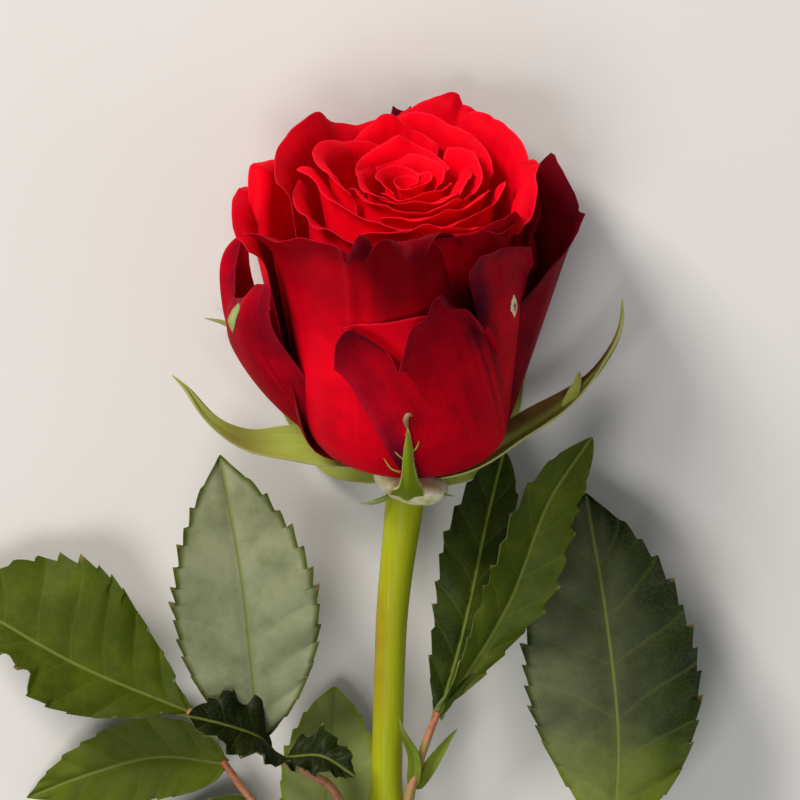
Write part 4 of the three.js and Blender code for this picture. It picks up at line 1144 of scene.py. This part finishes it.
def hairTree(name, material):
    # tapered hairs along lines, leaning out along the lines' outward numbers
    tree, add, inputs = newTree(name, {
        "Spacing": "Float", "Hair Length": "Float", "Hair Radius": "Float", "Untidiness": "Float",
        "Seed": "Int",
    })
    line = add("GeometryNodeMeshToCurve", {"Mesh": inputs["Geometry"]})
    spots = add("GeometryNodeResampleCurve", {"Curve": line, "Length": inputs["Spacing"]}, mode="LENGTH")
    hair = add("GeometryNodeMeshCone", {
        "Vertices": 3, "Side Segments": 2, "Radius Top": 0.0, "Radius Bottom": inputs["Hair Radius"],
        "Depth": inputs["Hair Length"],
    }, fill_type="NONE")
    loose = add("FunctionNodeRandomValue", {0: (-1, -1, -1), 1: (1, 1, 1), "Seed": inputs["Seed"]},
                data_type="FLOAT_VECTOR")
    astray = add("VectorMath", {0: loose, "Scale": inputs["Untidiness"]}, operation="SCALE")
    outward = add("GeometryNodeInputNamedAttribute", {"Name": "outward"}, data_type="FLOAT_VECTOR")
    aim = add("VectorMath", [outward, astray], operation="ADD")
    turn = add("FunctionNodeAlignRotationToVector", {"Vector": aim}, axis="Z")
    size = add("FunctionNodeRandomValue", {2: 0.45, 3: 1.15, "Seed": inputs["Seed"]}, out=1,
               data_type="FLOAT")
    hairs = add("GeometryNodeInstanceOnPoints", {
        "Points": spots, "Instance": hair, "Rotation": turn, "Scale": size,
    })
    return finishTree(tree, hairs, material)


def makeCup():
    form = cupForm
    axis = unit(np.array(form["axis"], float))
    heights = np.linspace(form["profile"][0][0], form["profile"][-1][0], form["steps"])
    line = stemPlace(np.array([0.0]))[0] + heights[:, None] * axis
    radii = throughPairs(form["profile"], heights)
    source = lineMesh([line], {"radius": [radii]})
    cup = tubesAlong("cupTube", source, form["sides"], grainedMaterial(cupSkin))
    addPiece("calyx_cup", cup, "calyx")


def sepalPlate(sepal):
    shape = {**bladeForm, **sepalForm, **sepal}
    s = np.linspace(*bladeEnds, shape["rows"])[:, None]
    across = np.linspace(-1, 1, shape["columns"])
    start, end = shape["fade"]
    brown = shape["brown"] * smoothStep(s, start - shape["browning"], start + shape["browning"])
    brown = brown * (1 - shape["greened"] * smoothStep(s, end, end + shape["greening"]))
    spared = shape["greenSide"] * smoothStep(across, *shape["sideBorder"])
    return bladePlate(shape, {"brown": brown * (1 - spared)})


def makeSepals():
    grids, plates = zip(*(sepalPlate(sepal) for sepal in sepals.values()))
    addPiece("calyx_sepals", makeMesh("calyx_sepals", plates, sepalMaterial(sepalSkin)), "calyx")
    form = fringeForm
    first, last = form["ends"]
    # each border of each sepal, and the line two columns further in
    sides = [(grid[first:last, edge], grid[first:last, inner]) for grid in grids
             for edge, inner in ((0, 2), (-1, -3))]
    source = lineMesh([border for border, inside in sides], {
        "outward": [unit(border - inside) for border, inside in sides],
    })
    fringe = grow(hairTree("fringe", grainedMaterial(fringeHair)), source, {
        "Spacing": form["spacing"] * mm, "Hair Length": form["length"] * mm,
        "Hair Radius": form["radius"] * mm, "Untidiness": form["untidiness"], "Seed": form["seed"],
    })
    addPiece("calyx_fringe", fringe, "calyx")


def makeLobes():
    form = threadForm
    at = np.linspace(0, 1, form["steps"])
    lines = [alongPath(line, at) for thick, line in threads]
    radii = [form["tip"] + (thick - form["tip"]) * (1 - at ** 2) for thick, line in threads]
    source = lineMesh(lines, {"radius": radii})
    strands = tubesAlong("threadTube", source, form["sides"], grainedMaterial(lobeSkin))
    addPiece("calyx_threads", strands, "calyx")
    radii = throughPairs(sepalTip["radii"], at)
    source = lineMesh([alongPath(sepalTip["line"], at)], {"radius": [radii]})
    curled = tubesAlong("tipTube", source, sepalTip["sides"], grainedMaterial(driedTip))
    addPiece("calyx_tip", curled, "calyx")


makeCup()
makeSepals()
makeLobes()

# Leaves

leaves = {
    "leaf_upper": {
        "stalk": [(1.1, -57.5, 14.4), (1.9, -52.6, 15.2), (4, -45.6, 15.4), (6.6, -38.4, 15.4)],
        "leaflets": [
            {"line": [(6.6, -39.2, 15.3), (10, -28, 14.8), (12.4, -18, 13.6), (15.4, -4, 11.2),
                 (18.2, 7, 8.6)],
             "width": 13, "fold": 18, "face": (-0.3, 0.1, 1), "wave": 0.9, "teeth": 10, "fullness": 0.75,
             "taper": 0.6, "tone": 0.28, "toothDepth": 0.07},
            {"line": [(6.6, -39, 15.6), (13.4, -28.6, 17.2), (19.6, -17, 18.2), (26.2, 0.4, 18.4),
                 (33.6, 11, 15.4)],
             "width": 12.5, "fold": 16, "face": (0.25, 0, 1), "wave": 1.1, "teeth": 11, "fullness": 1.2,
             "taper": 0.8, "tone": 0.48, "toothDepth": 0.08},
        ],
        "stipules": [
            {"line": [(2.3, -52, 15.4), (2.4, -46, 17.5), (0.4, -41, 19), (-0.2, -38.5, 18)],
             "width": 2.4},
            {"line": [(2.6, -52.4, 14.6), (6.4, -47, 14), (9, -43.4, 13.2), (10.2, -42, 13)],
             "width": 2.6},
        ],
    },
    "leaf_left": {
        "stalk": [(-5.6, -73, 12), (-8.6, -62, 12.8), (-12, -52.8, 13.4), (-16.4, -49.8, 13.8),
            (-24, -46, 14.2), (-31, -42.2, 14), (-37.4, -38.6, 13.6)],
        "leaflets": [
            {"line": [(-36.6, -39, 13.7), (-57, -30.2, 13.5), (-78, -19, 8.5)], "width": 26.6, "fold": 14,
             "face": (0.12, 0.42, 1), "wave": 1.5, "teeth": 12, "tone": 0.52, "uneven": 0.26,
             "quilt": 0.6, "fullness": 1.08, "taper": 0.8, "torn": (-1, 0.57, 0.98, 0.42)},
            {"line": [(-24.6, -44, 14.2), (-25.4, -36, 16.4), (-27.6, -14, 18.6), (-31.4, 8.2, 17)],
             "width": 25.6, "fold": 7, "face": (0.05, 0.12, 1), "wave": 0.7, "teeth": 15,
             "fullness": 0.85, "taper": 1.0, "waxy": 1.0, "tone": 0.5, "quilt": 0.5},
            # painted shade: the next two small leaflets get the darkest tones, as they lie in shadow
            {"line": [(-22.4, -45.6, 14.6), (-24, -42.4, 18.4), (-29.6, -39.4, 21.4), (-37, -37.2, 22.6)],
             "width": 13.5, "fold": 14, "face": (0.1, 0.7, 0.6), "wave": 1.7, "waves": 3, "teeth": 9,
             "toothDepth": 0.08, "tone": 0.0, "fullness": 0.5, "taper": 0.7},
            {"line": [(-19.6, -46.6, 14.4), (-13.6, -45.6, 18.4), (-7.6, -49, 20.4)], "width": 9,
             "fold": 14, "face": (-0.1, 0.7, 0.6), "wave": 1.5, "waves": 3, "teeth": 7,
             "toothDepth": 0.08, "tone": 0.1},
        ],
        "stipules": [
            {"line": [(-7, -69, 12.6), (-10.5, -64, 12.6), (-13.5, -60.5, 12), (-14.6, -59, 11.5)],
             "width": 2.6},
        ],
    },
    "leaf_behind": {
        "stalk": [(-5.2, -93, 9.4), (-9, -80, 8), (-15.5, -67, 7), (-26, -57, 6.6), (-31.4, -49.4, 7)],
        "leaflets": [
            {"line": [(-31, -50, 7), (-43, -49, 6.4), (-55, -52.4, 4.8), (-66.4, -57.6, 1.6)],
             "width": 15, "fold": 5, "wave": 0.4, "teeth": 9, "tone": 0.65},
            {"line": [(-14.6, -68, 7), (-12.6, -52, 6.2), (-11.6, -36.6, 4.2)], "width": 17, "fold": 5,
             "wave": 0.4, "teeth": 9, "tone": 1.0, "waxy": 0.5, "fullness": 0.7, "taper": 0.8},
            {"line": [(-25.6, -57.4, 6.6), (-36, -66.4, 5.2), (-52, -76, 1.4)], "width": 15, "fold": 5,
             "wave": 0.4, "teeth": 7},
        ],
        "stipules": [
            {"line": [(-6.4, -89.6, 9.2), (-10, -85, 8), (-13, -82, 7), (-14, -81, 6.6)], "width": 2.6},
        ],
    },
    "leaf_right": {
        "stalk": [(1.7, -109, 11), (6, -99, 11.6), (15.4, -88.4, 11.8), (27, -76, 12.8), (37.2, -61, 14)],
        "leaflets": [
            {"line": [(37.6, -61.8, 14), (38.4, -44, 14), (36.2, -22, 12), (32.6, -0.6, 8)], "width": 31,
             "fold": 8, "face": (-0.1, 0.1, 1), "wave": 0.8, "teeth": 15, "fullness": 0.85, "taper": 0.95,
             "waxy": 0.18, "waxyAcross": -0.26, "tone": 0.18, "toneAcross": -0.12, "toneAtFoot": 0.6,
             "quilt": 0.8},
            {"line": [(26.6, -76.6, 12.8), (44, -79.6, 11), (66, -87, 2.2)], "width": 22, "fold": 6,
             "wave": 0.8, "teeth": 7},
            {"line": [(15.8, -88, 11.8), (12.4, -76, 8.4), (9.4, -62.4, 4)], "width": 12.6, "fold": 6,
             "wave": 0.4, "teeth": 7},
            {"line": [(14.8, -89, 11.8), (27, -98.4, 8.6), (45, -112, 1.6)], "width": 18, "fold": 6,
             "wave": 0.7, "teeth": 7},
        ],
        "stipules": [
            {"line": [(3.4, -106, 11.4), (7, -101.6, 10.6), (9.4, -99, 9.8), (10.4, -98, 9.4)],
             "width": 2.6},
        ],
    },
    "leaf_low_left": {
        "stalk": [(-3.7, -161, 8.8), (-8, -151, 8.2), (-18, -142.6, 7), (-31, -136, 5.6)],
        "leaflets": [
            {"line": [(-30.4, -136.4, 5.6), (-49, -129, 5.6), (-70, -117, 1.2)], "width": 23, "fold": 6,
             "wave": 0.8, "teeth": 7},
            {"line": [(-17.4, -143, 7), (-18, -125, 7), (-20.4, -104, 2.6)], "width": 17, "fold": 6,
             "wave": 0.6, "teeth": 6},
            {"line": [(-17.8, -143, 7), (-30, -153, 5.4), (-49, -167, 1.2)], "width": 17, "fold": 6,
             "wave": 0.6, "teeth": 6},
        ],
        "stipules": [
            {"line": [(-5.4, -158, 8.8), (-9.6, -154.6, 7.6), (-12, -152.8, 6.6), (-13, -152, 6)],
             "width": 2.6},
        ],
    },
    "leaf_low_right": {
        "stalk": [(5.6, -216, 7.2), (9.6, -206, 6.8), (18, -197, 5.8), (29, -190, 5)],
        "leaflets": [
            {"line": [(28.4, -190.4, 5), (46, -182, 5.2), (67, -169, 1.2)], "width": 22, "fold": 6,
             "wave": 0.8, "teeth": 7},
            {"line": [(17.6, -197.4, 5.8), (18.6, -179, 6.2), (21, -158, 2)], "width": 16, "fold": 6,
             "wave": 0.6, "teeth": 6},
            {"line": [(17.8, -197.4, 5.8), (30, -207, 5), (48, -221, 1.2)], "width": 16, "fold": 6,
             "wave": 0.6, "teeth": 6},
        ],
        "stipules": [
            {"line": [(7.2, -213, 7.2), (11, -209.6, 6.2), (13.4, -207.8, 5.4), (14.4, -207, 5)],
             "width": 2.6},
        ],
    },
}
leafForm = {
    "columns": 25, "thickness": 0.28, "ribThickness": 1.0, "quilt": 0.35, "groove": 0.3,
    "unevenTeeth": 0.008,
    "rows": 8,   # for each tooth
}
# What each blade tells the material: how much grey sheen it has, a reflection painted into its colour, and
# its tone, from dark at 0 to pale at 1. Both can change from side to side, and the tone towards the foot.
bladeLook = {"waxy": 0, "tone": 0.45, "waxyAcross": 0, "toneAcross": 0, "toneAtFoot": 0}
stipuleForm = {"fullness": 0.25, "columns": 9, "rows": 30, "thickness": 0.3, "ribThickness": 0.3, "tone": 0.9}
stalkForm = {
    "radii": [(0, 1.6), (0.12, 1.0), (1, 0.65)], "steps": 60, "sides": 16,
    "blush": (0.1, 0.25, 0.15),   # at the foot, more at the end, uneven
}

# Rose leaf: a leathery blade under a waxy cuticle, dark green above with a satin gloss, paler and matt
# below, with pale ribs that part it into quilted fields and a net of fine veins.
leafSkin = {
    "byTone": [(0.0, "#0f1704"), (0.25, "#222d06"), (0.5, "#3e4a0a"), (0.75, "#586410"), (1.0, "#7c8c20")],
    # the grey-green wax colour is a painted reflection, the sheen of light off the waxy cuticle
    "paintedSheen": "#8d9270", "under": "#66744a", "rib": "#6e7a34", "toothTip": "#a88458",
    "net": 0.9, "cloud": 7,   # mm
    "sockets": {
        "Specular IOR Level": 0.08, "Subsurface Weight": 0.08, "Subsurface Radius": (0.3, 0.8, 0.1),
        "Subsurface Scale": 0.6 * mm,
    },
}
# Leaf stalk: green skin tinged red where the sun reaches it, finely streaked, satin.
stalkSkin = {
    "name": "rose leaf stalk, tinged red", "tints": [(0.3, "#6c8426"), (0.7, "#a8704a"), (1.0, "#8a2e18")],
    "grain": 1.6, "detail": 4, "relief": (0.3, 0.1), "sockets": {"Roughness": 0.45},
}


def leafMaterial(look):
    material, add, shader = newMaterial("rose leaf, waxy cuticle", look["sockets"])
    inPlace = add("TexCoord", out="Object")
    read = {
        name: add("Attribute", out="Fac", attribute_name=name)
        for name in ("side", "edge", "fromRib", "tooth", *bladeLook)
    }
    place = add("SeparateXYZ", [add("UVMap", uv_map="ownMap")]).node.outputs
    # the side veins, as veinPhase has them
    centred = add("Math", [place["X"], 2.0, -1.0], operation="MULTIPLY_ADD")
    far = add("Math", [centred], operation="ABSOLUTE")
    bent = add("Math", [far, veins["bend"], -veins["lean"]], operation="MULTIPLY_ADD")
    leaning = add("Math", [far, bent, 0.5], operation="MULTIPLY_ADD")
    phase = add("Math", [place["Y"], float(veins["pairs"]), leaning], operation="MULTIPLY_ADD")
    toVein = add("Math", [phase, 0.5], operation="PINGPONG")
    sideVein = add("MapRange", [toVein, 0.005, 0.06, 0.16, 0], **smoothly)
    midRib = add("MapRange", [read["fromRib"], 0.12, 0.42, 1, 0], **smoothly)
    ribs = add("Math", [sideVein, midRib], operation="MAXIMUM")
    cells = add("TexVoronoi", {"Vector": inPlace, "Scale": 1 / (look["net"] * mm)},
                feature="DISTANCE_TO_EDGE")
    net = add("MapRange", [cells, 0.0, 0.14, 1, 0])
    cloudy = add("TexNoise", {
        "Vector": inPlace, "Scale": 1 / (look["cloud"] * mm), "Detail": 4, "Roughness": 0.6,
    })
    patch = add("MapRange", [cloudy, 0.3, 0.7, -0.1, 0.1])
    toneSide = add("Math", [centred, read["toneAcross"], read["tone"]], operation="MULTIPLY_ADD")
    nearFoot = add("MapRange", [place["Y"], 0.1, 0.42, 1, 0], **smoothly)
    toneFoot = add("Math", [nearFoot, read["toneAtFoot"], toneSide], operation="MULTIPLY_ADD")
    tone = add("Math", [toneFoot, patch], operation="ADD", use_clamp=True)
    # painted sheen: a grey reflection laid over the blade, away from its margin and in patches
    inwards = add("MapRange", [read["edge"], 0.1, 1.5], **smoothly)
    waxSheenSide = add("Math", [centred, read["waxyAcross"], read["waxy"]], operation="MULTIPLY_ADD",
                  use_clamp=True)
    sheenOffMargin = add("Math", [inwards, waxSheenSide], operation="MULTIPLY")
    patchy = add("MapRange", [cloudy, 0.25, 0.6, 0.45, 0.92])
    paintedSheen = add("Math", [sheenOffMargin, patchy], operation="MULTIPLY")
    faintNet = add("Math", [net, 0.06], operation="MULTIPLY")
    paleRibs = add("Math", [ribs, 0.7], operation="MULTIPLY")
    toothTip = add("MapRange", [read["tooth"], 0.85, 1.15, 0, 0.4])
    colour = add("ValToRGB", [tone], stops=look["byTone"])
    for cover, tint in ((paintedSheen, "paintedSheen"), (read["side"], "under"), (faintNet, "rib"), (paleRibs, "rib"),
                        (toothTip, "toothTip")):
        colour = add("Mix", {0: cover, 6: colour, 7: look[tint]}, **inColour)
    relief = add("Math", [add("Math", [net, 0.15], operation="MULTIPLY"), ribs], operation="MAXIMUM")
    setInputs(shader, {
        "Base Color": colour,
        "Normal": add("Bump", {"Height": relief, "Strength": 0.5, "Distance": 0.18 * mm}, invert=True),
        "Roughness": add("MapRange", [read["side"], 0, 1, 0.45, 0.65]),
    })
    return material


def redPlace(add, inPlace, grain):
    # the stalk's blush, made uneven by its grain
    blush = add("Attribute", out="Fac", attribute_name="blush")
    return add("Math", [grain, 0.8, blush], operation="MULTIPLY_ADD", use_clamp=True)


def makeLeaves():
    blade = leafMaterial(leafSkin)
    skin = grainedMaterial(stalkSkin, redPlace)
    form = stalkForm
    along = np.linspace(0, 1, form["steps"])
    radii = throughPairs(form["radii"], along)
    foot, redder, uneven = form["blush"]
    for number, (node, leaf) in enumerate(leaves.items()):
        shapes = [
            {**leafForm, "seed": 10 * number + i, **leaflet} for i, leaflet in enumerate(leaf["leaflets"])
        ]
        shapes += [{**stipuleForm, **stipule} for stipule in leaf["stipules"]]
        plates = []
        for shape in shapes:
            shape = {**bladeForm, **bladeLook, **shape}
            plates.append(bladePlate(shape, {name: shape[name] for name in bladeLook})[1])
        addPiece(node + "_blades", makeMesh(node + "_blades", plates, blade), node)
        blush = foot + redder * along + uneven * waver(along * 8, number)
        line = alongPath(leaf["stalk"], along)
        source = lineMesh([line], {"radius": [radii], "blush": [blush]})
        stalk = tubesAlong("stalkTube", source, form["sides"], skin)
        addPiece(node + "_stalk", stalk, node)


makeLeaves()
